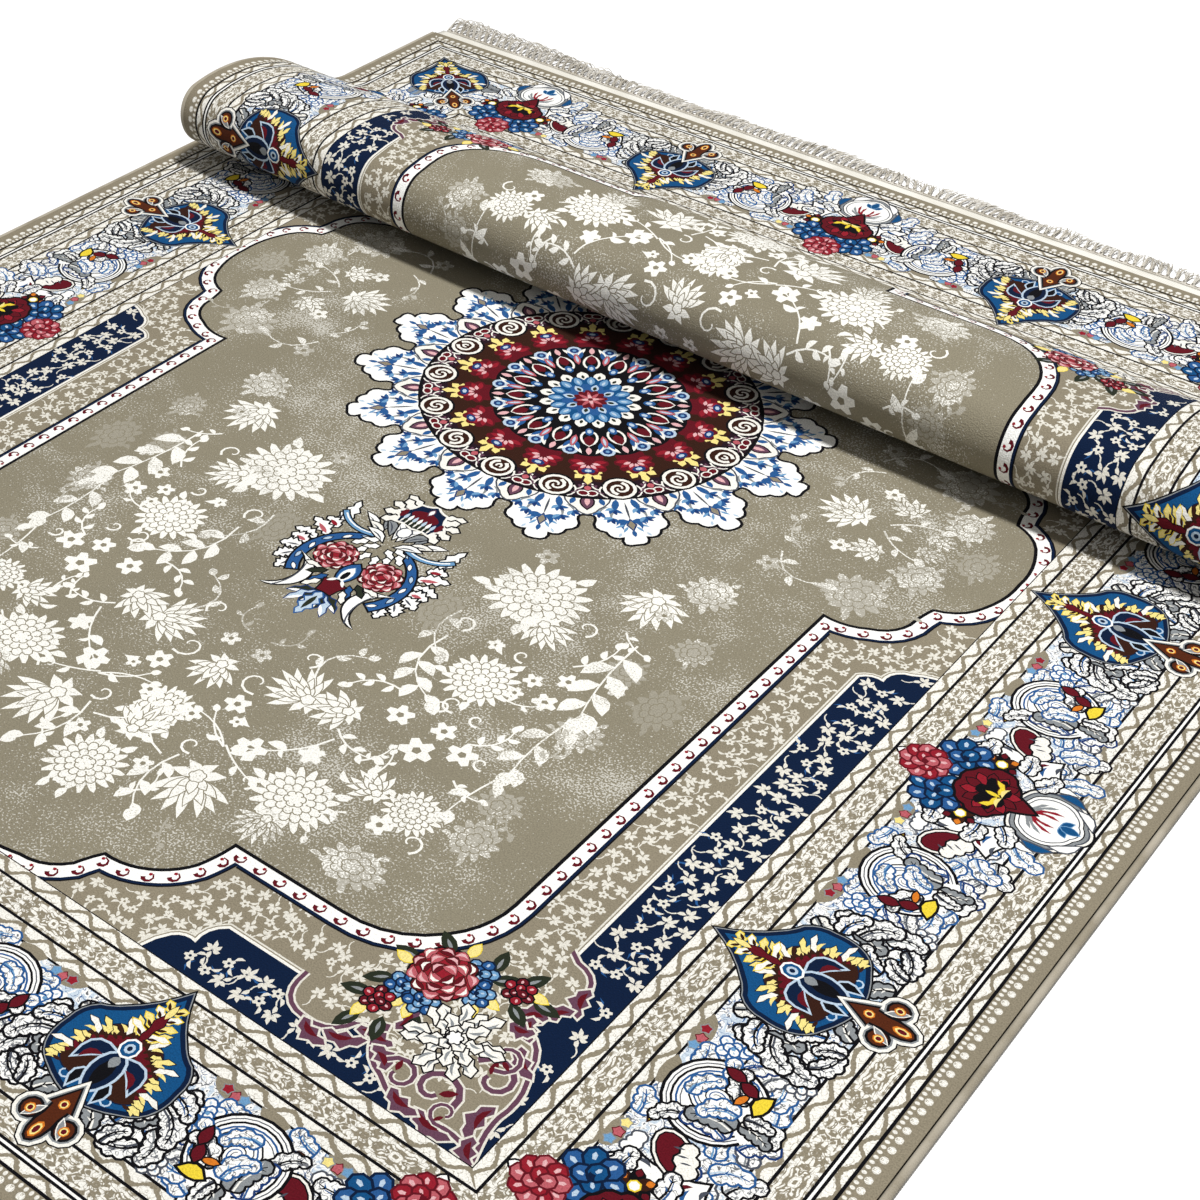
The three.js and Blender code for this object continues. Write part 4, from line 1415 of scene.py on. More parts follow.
    def bend(self, d: Drawing) -> None:
        """Paints the scrolls that turn the corner.

        Args:
            d: the drawing to paint in.
        """
        for k, (x, q, turn, long) in enumerate((
                (0.92, 1.44, 100, 0.07), (0.96, 1.47, 60, 0.06), (1.01, 1.46, 110, 0.06),
                (0.9, 1.5, 30, 0.06), (0.87, 1.55, 10, 0.06), (0.87, 1.59, -20, 0.06), (0.91, 1.6, 10, 0.07),
                (1.02, 1.51, 80, 0.06), (0.98, 1.61, 10, 0.04), (0.85, 1.5, 60, 0.05),
                (1.02, 1.4, 100, 0.06), (0.94, 1.4, 80, 0.06))):
            bend, line, vein = (1.3, Ink.BLACK, Ink.SLATE) if k % 2 else (-1.2, Ink.BLUE, Ink.SKY)
            ink = Ink.GREY if k % 3 == 2 else Ink.WHITE
            d.acanthus(CARD.sub(x, q, turn), long, 0.03, bend, ink, line, vein)

    def bouquet(self, d: Drawing, spot: Spot) -> None:
        """Paints the bouquet that lies across the border and its guards.

        Args:
            d: the drawing to paint in.
            spot: its place on the border.
        """
        shell = chain([(0.115, -0.03), (0.13, -0.05), (0.165, -0.06), (0.196, -0.046), (0.213, -0.02),
                       (0.222, 0), (0.213, 0.02), (0.196, 0.046), (0.165, 0.06), (0.13, 0.05),
                       (0.115, 0.03)], 0.1, 4)
        for size, ink in ((1.06, Ink.BLACK), (1.0, Ink.IVORY), (0.94, Ink.SLATE), (0.9, Ink.GREY),
                          (0.82, Ink.BLACK), (0.79, Ink.WHITE), (0.72, Ink.SLATE), (0.69, Ink.WHITE)):
            d.fill(spot.sub(0.162 * (1 - size), 0, 0, size), shell, ink)
        for side in (-1, 1):
            for a, t, turn, long, ink in ((0.125, 0.052, 20, 0.05, Ink.WHITE),
                                          (0.15, 0.056, -6, 0.04, Ink.ROYAL),
                                          (0.184, 0.044, -40, 0.04, Ink.WHITE)):
                d.lined(spot.sub(a, t * side, turn * side), leaf(long, 0.012, 0.14 * side), ink, Ink.SLATE,
                        0.0018)
            for turn, long in ((10, 0.04), (26, 0.046), (44, 0.042), (62, 0.032)):
                d.fill(spot.sub(0.134, 0.001 * side, turn * side), leaf(long, 0.006, 0.1 * side, 2),
                       Ink.RED if turn < 40 else Ink.GREY)
            d.lined(spot.sub(0.178, 0.003 * side, 44 * side), leaf(0.018, 0.009), Ink.ROYAL, Ink.SKY, 0.001)
            for a, t, turn in ((0.03, 0.066, 60), (0.12, 0.05, 40), (0.095, 0.066, 80)):
                d.acanthus(spot.sub(a, t * side, turn * side), 0.04, 0.022, 0.7 * side, Ink.WHITE, Ink.BLACK,
                           Ink.BLUE, 3)
            for k in range(6):
                at = spot.sub(0.064, 0.062 * side, 60 * k + 15)
                d.lined(at, leaf(0.024, 0.017, 0, 0, 4, 0.6), Ink.COCOA if k % 2 else Ink.BLACK, Ink.BLACK,
                        0.001)
                d.fill(at.sub(0.013, 0), leaf(0.011, 0.009), Ink.ORANGE if k % 2 else Ink.MAROON)
            d.lined(spot.sub(0.064, 0.062 * side), oval(7) * 0.0065, Ink.WHITE, Ink.GOLD, 0.0015)
        d.lined(spot.sub(0.178, 0), leaf(0.027, 0.013, 0, 0, 5), Ink.ROYAL, Ink.SKY, 0.001)
        for side in (-1, 1):
            d.cluster(spot.sub(0.02, 0.041 * side, 20 * side, 0.039),
                      (Ink.BLUE, Ink.ROYAL, Ink.ICE, Ink.NAVY), 7, Ink.NAVY, 0.0026)
        d.lined(spot.sub(-0.044, 0, 180), leaf(0.018, 0.014), Ink.WHITE, Ink.BLACK, 0.002)
        d.cluster(spot.sub(-0.02, 0, 0, 0.034), (Ink.ROSE, Ink.RED, Ink.PINK, Ink.MAROON), 9, Ink.MAROON,
                  0.002)
        pansy = chain([(0.034, 0), (0.04, -0.026), (0.06, -0.042), (0.078, -0.05), (0.098, -0.036),
                       (0.112, -0.016), (0.142, 0), (0.112, 0.016), (0.098, 0.036), (0.078, 0.05),
                       (0.06, 0.042), (0.04, 0.026)],
                      [0.2, 0.2, 0.2, 0.2, 0.1, 0.04, 0.04, 0.1, 0.2, 0.2, 0.2, 0.2], 3)
        d.lined(spot, pansy, Ink.MAROON, Ink.BLACK, 0.003)
        for turn in range(-150, 181, 30):
            d.lined(spot.sub(0.078, 0, turn + 10).sub(0.016, 0), leaf(0.024, 0.015), Ink.RED if turn % 60 else
                    Ink.MAROON, Ink.BLACK, 0.0012)
        d.fill(spot.sub(0.08, 0), blossom(7, 0.34, 4) * [0.024, 0.036], Ink.BLACK)
        for side in (-1, 1):
            d.lined(spot.sub(0.088, 0.002 * side, 118 * side), leaf(0.03, 0.010, -0.2 * side, 2), Ink.GOLD,
                    Ink.BROWN, 0.001)
            d.fill(spot.sub(0.094, 0, 84 * side), leaf(0.022, 0.006, 0.2 * side), Ink.YELLOW)
        d.fill(spot.sub(0.07, 0), leaf(0.022, 0.007), Ink.GOLD)

    def cartouche(self, d: Drawing, spot: Spot) -> None:
        """Paints the blue cartouche with its flames, and the brown trefoil outside it.

        Args:
            d: the drawing to paint in.
            spot: its place on the border.
        """
        half = [(-0.068, 0.0), (-0.004, 0.048), (0.012, 0.072), (0.048, 0.086), (0.082, 0.084), (0.11, 0.056)]
        bulge = [-0.05, -0.05, 0.12, 0.06, 0.12, 0.06]
        nodes = half + [(0.128, 0.0)] + [(a, -t) for a, t in half[:0:-1]]
        outline = chain(nodes, [-b for b in bulge + bulge[::-1]], 4)
        for by, ink in ((0.0062, Ink.BLACK), (0.004, Ink.GREY), (0.0025, Ink.NAVY), (-0.0035, Ink.ROYAL)):
            d.shapes.append(Shape(grown(spot.at(outline), by), ink))
        heart = [(-0.004, 0.0), (0.012, 0.026), (0.036, 0.048), (0.066, 0.058), (0.094, 0.056),
                 (0.104, 0.034)]
        shape = chain(heart + [(0.098, 0.0)] + [(a, -t) for a, t in heart[:0:-1]], [-0.12] * 12, 3)
        d.lined(spot, shape, Ink.COCOA, Ink.NAVY, 0.0012)
        for side in (-1, 1):
            arm = [(0.036, 0.002), (0.05, 0.03), (0.068, 0.044), (0.096, 0.062), (0.078, 0.062), (0.05, 0.05),
                   (0.03, 0.024), (0.018, 0.002)]
            d.fill(spot, points(*[(a, t * side) for a, t in arm]), Ink.MAROON)
            for k in range(10):
                a = float(np.interp(k, (0, 4, 9), (0.02, 0.046, 0.1)))
                t = float(np.interp(k, (0, 4, 9), (0.01, 0.044, 0.056)))
                at = spot.sub(a, t * side, (150 - 8 * k + 15 * math.sin(2.3 * k)) * side)
                long = 0.026 + 0.009 * math.sin(1.9 * k + 1)
                d.lined(at, leaf(long, 0.0095, 0.14 * side, 2), Ink.IVORY if k % 3 == 1 else Ink.YELLOW,
                        Ink.BLACK, 0.0008)
                d.fill(at.sub(0.003, 0, -34 * side), leaf(long * 0.6, 0.005, 0.2 * side), Ink.YELLOW)
                d.fill(at.sub(-0.006, 0), leaf(0.013, 0.005), Ink.COCOA)
            for k in range(4):
                at = spot.sub(0.014 - 0.016 * k, 0.003 * side, (118 + 7 * k) * side)
                d.lined(at, leaf(0.03 - 0.004 * k, 0.0105, 0.1 * side, 2), Ink.YELLOW if k % 2 else Ink.IVORY,
                        Ink.GOLD, 0.001)
                d.fill(at.sub(0.002, 0), leaf(0.013, 0.0045), Ink.COCOA)
            d.lined(spot.sub(0.05, 0.006 * side, 48 * side), leaf(0.052, 0.02, 0.22 * side, 0, 5), Ink.NAVY,
                    Ink.ICE, 0.0024)
            d.fill(spot.sub(0.062, 0.018 * side, 46 * side), leaf(0.03, 0.009, 0.22 * side), Ink.MAROON)
            d.fill(spot.sub(0.108, 0.034 * side, 20 * side, 1, 1, side < 0),
                   ribbon(spiral(0.01, 0.004, 0.8, 8, 200), 0.0028, 0.0022), Ink.ICE)
            d.lined(spot.sub(0.086, 0.008 * side, 20 * side), leaf(0.036, 0.013, 0.2 * side), Ink.BLACK,
                    Ink.ICE, 0.0022)
        d.lined(spot.sub(0.024, 0, 180), leaf(0.074, 0.012, 0, 3), Ink.MAROON, Ink.BLACK, 0.001)
        d.fill(spot.sub(-0.022, 0, 180), leaf(0.026, 0.009), Ink.YELLOW)
        d.lined(spot.sub(0.044, 0), leaf(0.072, 0.036, 0, 0, 6, 0.7), Ink.NAVY, Ink.ICE, 0.0026)
        d.fill(spot.sub(0.056, 0), leaf(0.05, 0.02, 0, 0, 5), Ink.BLACK)
        d.fill(spot.sub(0.052, 0), leaf(0.02, 0.014), Ink.GREY)
        for size, ink in ((1.25, Ink.WHITE), (1.0, Ink.ROYAL), (0.6, Ink.ICE), (0.3, Ink.NAVY)):
            d.fill(spot.sub(0.036, 0), oval(9, 0.013, 0.011) * size, ink)
        self.trefoil(d, spot)

    def trefoil(self, d: Drawing, spot: Spot) -> None:
        """Paints the brown trefoil on the outer guards.

        Args:
            d: the drawing to paint in.
            spot: its place on the border.
        """
        lobes = ((0.176, 0.0, 0.026, 0.011), (0.168, 0.0265, 0.0125, 0.0115),
                 (0.168, -0.0265, 0.0125, 0.0115), (0.15, 0.0, 0.025, 0.011))
        for grow, ink in ((0.0125, Ink.BLACK), (0.0105, Ink.IVORY), (0.006, Ink.GREY), (0.0035, Ink.BLACK),
                          (0.0, Ink.BROWN)):
            for a, t, long, wide in lobes:
                d.fill(spot.sub(a, t), oval(12, long + grow, wide + grow), ink)
            d.fill(spot, points((0.115 - grow * 1.6, 0), (0.148, 0.016 + grow), (0.148, -0.016 - grow)), ink)
        for side in (-1, 1):
            d.lined(spot.sub(0.157, 0.0145 * side, 30 * side), leaf(0.028, 0.008), Ink.GREY, Ink.IVORY, 0.001)
        for a, t in ((0.142, 0.0), (0.169, 0.027), (0.169, -0.027), (0.186, 0.0)):
            long = 0.013 if a > 0.18 else 0.0075
            for size, ink in ((1.0, Ink.ORANGE), (0.75, Ink.YELLOW), (0.5, Ink.MAROON)):
                d.fill(spot.sub(a, t), oval(8, long, 0.0068) * size, ink)


# ---------------------------------------------------------------- shader expressions


class Value:
    """One socket of a node tree; arithmetic on it adds Math nodes."""

    def __init__(self, nodes: "Nodes", socket: Any) -> None:
        """Wraps a socket of a tree."""
        self.nodes, self.socket = nodes, socket

    def math(self, operation: str, *others: "Value | float") -> "Value":
        """Adds one Math node on this value and others."""
        return self.nodes.add("ShaderNodeMath", {"operation": operation},
                              {i: v for i, v in enumerate((self, *others))})

    def __add__(self, other: "Value | float") -> "Value":
        """Sum."""
        return self.math("ADD", other)

    def __sub__(self, other: "Value | float") -> "Value":
        """Difference."""
        return self.math("SUBTRACT", other)

    def __rsub__(self, other: float) -> "Value":
        """Number less value."""
        return self.math("MULTIPLY_ADD", -1.0, other)

    def __mul__(self, other: "Value | float") -> "Value":
        """Product."""
        return self.math("MULTIPLY", other)

    __radd__, __rmul__ = __add__, __mul__

    def above(self, level: "Value | float") -> "Value":
        """Is 1 where the value is over a level."""
        return self.math("GREATER_THAN", level)

    def size(self) -> "Value":
        """Absolute value."""
        return self.math("ABSOLUTE")

    def fold(self, length: float) -> "Value":
        """Goes to and fro between 0 and a length."""
        return self.math("PINGPONG", length)

    def between(self, low: float, high: float, start: float = 0.0, end: float = 1.0) -> "Value":
        """Goes smoothly from start to end as the value goes from low to high.

        Args:
            low: where it starts to change.
            high: where it stops.
            start: the result below low.
            end: the result above high.

        Returns:
            The new value.
        """
        return self.nodes.add("ShaderNodeMapRange", {"interpolation_type": "SMOOTHSTEP"},
                              {"Value": self, "From Min": low, "From Max": high, "To Min": start,
                               "To Max": end})


class Nodes:
    """The node tree of one material."""

    def __init__(self, name: str) -> None:
        """Makes a material with a Principled shader.

        Args:
            name: the material's name.
        """
        self.material = bpy.data.materials.new(name)
        self.material.use_nodes = True
        self.tree = self.material.node_tree
        self.shader = self.tree.nodes["Principled BSDF"]

    def add(self, kind: str, settings: dict[str, Any] | None = None, inputs: dict[Any, Any] | None = None,
            output: int | str = 0) -> Value:
        """Adds a node.

        Args:
            kind: the node's type.
            settings: properties, set before the sockets.
            inputs: values or links of its sockets, by name or number.
            output: which output to give back.

        Returns:
            The chosen output.
        """
        node = self.tree.nodes.new(kind)
        for name, value in (settings or {}).items():
            setattr(node, name, value)
        for name, value in (inputs or {}).items():
            socket = node.inputs[name]
            if isinstance(value, Value):
                self.tree.links.new(value.socket, socket)
            else:
                socket.default_value = value
        return Value(self, node.outputs[output])

    def attribute(self, name: str, output: str = "Color") -> Value:
        """Reads a mesh attribute."""
        return self.add("ShaderNodeAttribute", {"attribute_name": name}, {}, output)

    def vector(self, x: Value | float, y: Value | float, z: Value | float) -> Value:
        """Joins three numbers."""
        return self.add("ShaderNodeCombineXYZ", {}, {0: x, 1: y, 2: z})

    def parts(self, vector: Value) -> tuple[Value, Value, Value]:
        """Splits a vector into its numbers.

        Args:
            vector: the vector.

        Returns:
            The three numbers.
        """
        node = self.tree.nodes.new("ShaderNodeSeparateXYZ")
        self.tree.links.new(vector.socket, node.inputs[0])
        return tuple(Value(self, o) for o in node.outputs)

    def noise(self, vector: Value, scale: float, detail: float, distortion: float = 0.0) -> Value:
        """Adds soft noise, about 0 to 1."""
        return self.add("ShaderNodeTexNoise", {}, {"Vector": vector, "Scale": scale, "Detail": detail,
                                                   "Distortion": distortion})

    def mix(self, share: Value | float, a: Any, b: Any, blend: str = "MIX") -> Value:
        """Mixes two colours.

        Args:
            share: how much of b, 0 to 1.
            a: a colour, an ink or a value.
            b: the other one.
            blend: how they're mixed.

        Returns:
            The mixed colour.
        """
        def colour(c: Any) -> Any:
            """Gives a socket's value for an ink or a colour."""
            return (*c.linear(), 1.0) if isinstance(c, Ink) else c
        return self.add("ShaderNodeMix", {"data_type": "RGBA", "blend_type": blend},
                        {0: share, 6: colour(a), 7: colour(b)}, 2)

    def finish(self, colour: Value, height: Value, depth: float, roughness: float,
               sheen: float) -> bpy.types.Material:
        """Joins colour, relief and roughness to the shader.

        Args:
            colour: the base colour.
            height: the relief, about 0 to 1.
            depth: how deep a whole step of it is, in metres.
            roughness: the surface's roughness.
            sheen: the fibres' pale sheen.

        Returns:
            The material.
        """
        self.tree.links.new(colour.socket, self.shader.inputs["Base Color"])
        bump = self.add("ShaderNodeBump", {}, {"Strength": 1.0, "Distance": depth, "Height": height})
        self.tree.links.new(bump.socket, self.shader.inputs["Normal"])
        self.shader.inputs["Roughness"].default_value = roughness
        self.shader.inputs["Sheen Weight"].default_value = sheen
        self.shader.inputs["Sheen Roughness"].default_value = 0.5
        self.shader.inputs["Specular IOR Level"].default_value = 0.1
        return self.material


@dataclass(frozen=True)
class PileFinish:
    """Cut pile: the design's inks, with small laces, wear, tufts and painted shade."""

    name: str = "cut_pile"
    tufts: float = 430.0
    wide_run: float = 0.0965  # half a repeat of the wide guards, in metres
    narrow_run: float = 0.0265  # half a repeat of the narrow guards
    fan_run: float = 0.00875
    dot_run: float = 0.0044
    lace_ink: Ink = Ink.IVORY

    def material(self) -> bpy.types.Material:
        """Builds the pile's material.

        Returns:
            The material.
        """
        n = Nodes(self.name)
        ink, wear = n.attribute("ink"), n.attribute("ink", "Alpha")
        across, along, kind = n.parts(n.attribute("lace", "Vector"))
        place = n.attribute("cloth", "Vector")
        x, v, _ = n.parts(place)

        def is_kind(lace: Lace) -> Value:
            """Is 1 on faces of one weave."""
            return n.add("ShaderNodeMath", {"operation": "COMPARE"}, {0: kind, 1: float(lace.value), 2: 0.4})

        def veins(vector: Value, scale: float, low: float, high: float, twist: float = 0.9) -> Value:
            """Is 1 on pale lobes and 0 on the fine lines that part them."""
            return (n.noise(vector, scale, 0.6, twist) - 0.5).size().between(low, high)

        # wide guards: pale leaves either side of the middle, in repeats that face each other
        across = across + (n.noise(place, 34, 1.0) - 0.5) * 0.007 * (1.0 - is_kind(Lace.DOTS))
        along = along + (n.noise(place, 27, 1.0) - 0.5) * 0.022 * (1.0 - is_kind(Lace.DOTS))
        folded = n.vector(across.size() * 1.3, along.fold(self.wide_run), 3.0)
        leaves = veins(folded, 66, 0.022, 0.044) * n.noise(folded, 112, 1.0, 0.5).between(0.42, 0.50)
        petals = veins(n.vector(across.size(), along.fold(self.wide_run), 8.0), 120, 0.012, 0.03, 0.3)
        wide = leaves * petals.between(0.0, 1.0, 0.3, 1.0)
        # narrow guards: a winding stem between pale half flowers
        half_run = self.narrow_run
        stem = (along.fold(half_run) - half_run / 2).between(-half_run / 2, half_run / 2, -0.007, 0.007)
        scallop = n.noise(n.vector(across, along.fold(half_run * 2), 1.7), 190, 0.5, 0.3) * 0.0062
        petal = ((across - stem).size() - scallop).between(0.0001, 0.0009)
        heart = veins(n.vector(across, along.fold(half_run * 2), 4.7), 130, 0.010, 0.028, 0.2)
        narrow = petal * heart.between(0.0, 1.0, 0.3, 1.0)
        # outer edge: a row of three-lobed fans beside a row of dots
        step = along.fold(self.fan_run)
        fan_across = across - 0.0046
        fan = (fan_across * fan_across + step * step).between(0.000022, 0.000034, 1.0, 0.0)
        fan_gap = (n.noise(n.vector(across, step, 2.2), 260, 0.0, 0.0) - 0.5).size().between(0.012, 0.034)
        dot_step = (along + self.dot_run).fold(self.dot_run)
        dot_across = across + 0.0056
        dot = (dot_across * dot_across * 0.6 + dot_step * dot_step).between(0.000004, 0.000009, 1.0, 0.0)
        dots = fan * fan_gap + dot * 0.9
        lace = wide * is_kind(Lace.WIDE) + narrow * is_kind(Lace.NARROW) + dots * is_kind(Lace.DOTS)
        colour = n.mix(lace, ink, self.lace_ink)

        # white border ground with fine blue and grey scroll outlines
        scroll = is_kind(Lace.SCROLL)
        drift = n.noise(place, 42, 1.0, 1.6)
        colour = n.mix(scroll * drift.between(0.54, 0.6) * 0.8, colour, Ink.ICE)
        colour = n.mix(scroll * (1.0 - veins(place, 84, 0.010, 0.032, 1.2)) * 0.95, colour, Ink.BLUE)
        edge = 1.0 - (drift - 0.47).size().between(0.011, 0.028)
        colour = n.mix(scroll * edge * 0.9, colour, Ink.SLATE)

        # border leaves are hatched with fine dark lines
        hatch = (1.0 - veins(place, 105, 0.020, 0.052, 1.1)) * is_kind(Lace.ETCH)
        colour = n.mix(hatch * 0.9, colour, Ink.SLATE)

        # worn flowers lose tufts in rows; the open ground has stray pale tufts
        rows = n.noise(n.vector(x, v, 2.0), 330, 1.0)
        patch = n.noise(place, 22, 2.0)
        lost = (rows * 0.62 + patch * 0.38 + wear * 0.42).between(0.62, 0.66)
        lost = lost * wear.above(0.001) * (wear * 0.55 + 0.45)
        colour = n.mix(lost, colour, Ink.FIELD)
        cloud = n.noise(n.vector(x, v, 7.0), 5.5, 2.0, 0.3)
        stray = n.noise(n.vector(x, v, 9.0), 300, 1.0) * 0.75 + cloud * 0.45 + patch * 0.22
        stray = stray.between(0.79, 0.85)
        colour = n.mix(stray * is_kind(Lace.MIST) * 0.5, colour, Ink.CREAM)

        # tufts, with painted shade: darker colour in the low places between tufts, where the same noise sinks
        # the relief, and broad painted lighter and darker patches for how light falls on the pile's lie
        tuft = n.noise(place, self.tufts, 2.0)
        lie_shade = n.noise(place, 3.2, 2.0, 0.5)
        shade = tuft.between(0.25, 0.75, 0.80, 1.12) * lie_shade.between(0.3, 0.7, 0.965, 1.03)
        colour = n.mix(1.0, colour, n.vector(shade, shade, shade), "MULTIPLY")
        return n.finish(colour, tuft, 0.0016, 0.92, 0.03)


@dataclass(frozen=True)
class YarnFinish:
    """Spun or woven yarn in one ink, with finer grain than its thread."""

    name: str
    ink: Ink
    second: Ink
    pitch: float = 0.002
    depth: float = 0.0006
    woven: bool = False

    def material(self) -> bpy.types.Material:
        """Builds the yarn's material.

        Returns:
            The material.
        """
        n = Nodes(self.name)
        place = n.add("ShaderNodeTexCoord", {}, {}, "Object")
        x, y, _ = n.parts(place)
        grain = n.noise(place, 0.9 / self.pitch, 3.0)
        if self.woven:
            ribs = (x.fold(self.pitch) + y.fold(self.pitch)) * (0.5 / self.pitch)
            height = ribs * 0.7 + grain * 0.3
        else:
            height = grain
        tone = n.noise(place, 14, 2.0)
        colour = n.mix(tone.between(0.35, 0.65) * 0.6 + grain.between(0.4, 0.7) * 0.4, self.ink, self.second)
        shade = height.between(0.1, 0.8, 0.84, 1.06)
        colour = n.mix(1.0, colour, n.vector(shade, shade, shade), "MULTIPLY")
        return n.finish(colour, height, self.depth, 0.88, 0.1)


# ---------------------------------------------------------------- pieces


def make_mesh(name: str, verts: np.ndarray, faces: np.ndarray | list, material: bpy.types.Material,
              smooth: bool = True) -> bpy.types.Object:
    """Makes an object from points and faces.

    Args:
        name: the piece's name.
        verts: its points.
        faces: its faces, as rows of point numbers.
        material: its finish.
        smooth: whether its shading is smooth.

    Returns:
        The object, linked to the scene.
    """
    mesh = bpy.data.meshes.new(name)
    rows = faces.tolist() if isinstance(faces, np.ndarray) else faces
    mesh.from_pydata(np.asarray(verts).tolist(), [], rows)
    mesh.polygons.foreach_set("use_smooth", [smooth] * len(mesh.polygons))
    mesh.materials.append(material)
    obj = bpy.data.objects.new(name, mesh)
    bpy.context.scene.collection.objects.link(obj)
    return obj


def slab_faces(across: int, along: int) -> np.ndarray:
    """Gives the faces of a closed thin slab.

    Args:
        across: points across its upper face, which come first, row by row, and then the lower face's.
        along: rows of points along it.

    Returns:
        The faces, as rows of point numbers.
    """
    cell = (np.arange(along - 1)[:, None] * across + np.arange(across - 1)).ravel()
    up = np.stack([cell, cell + 1, cell + across + 1, cell + across], 1)
    down = across * along
    loop = np.concatenate([np.arange(across - 1), np.arange(along - 1) * across + across - 1,
                           np.arange(across - 1, 0, -1) + (along - 1) * across,
                           np.arange(along - 1, 0, -1) * across])
    after = np.roll(loop, -1)
    return np.concatenate([up, up[:, ::-1] + down, np.stack([after, loop, loop + down, after + down], 1)])


def report(obj: bpy.types.Object, slot: str, *nodes: str) -> bpy.types.Object:
    """Ties a piece to the frame and logs it.

    Args:
        obj: the piece.
        slot: not used.
        nodes: the CAD nodes that it replaces.

    Returns:
        The piece.
    """
    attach(obj, "root")
    if nodes:
        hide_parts(*nodes)
    LOG.info("%s: %d triangles", obj.name, sum(len(p.vertices) - 2 for p in obj.data.polygons))
    return obj


class Zone(Enum):
    """The two parts of the pile, which meet at the field's outer line."""

    FIELD = "field"
    BORDER = "border"


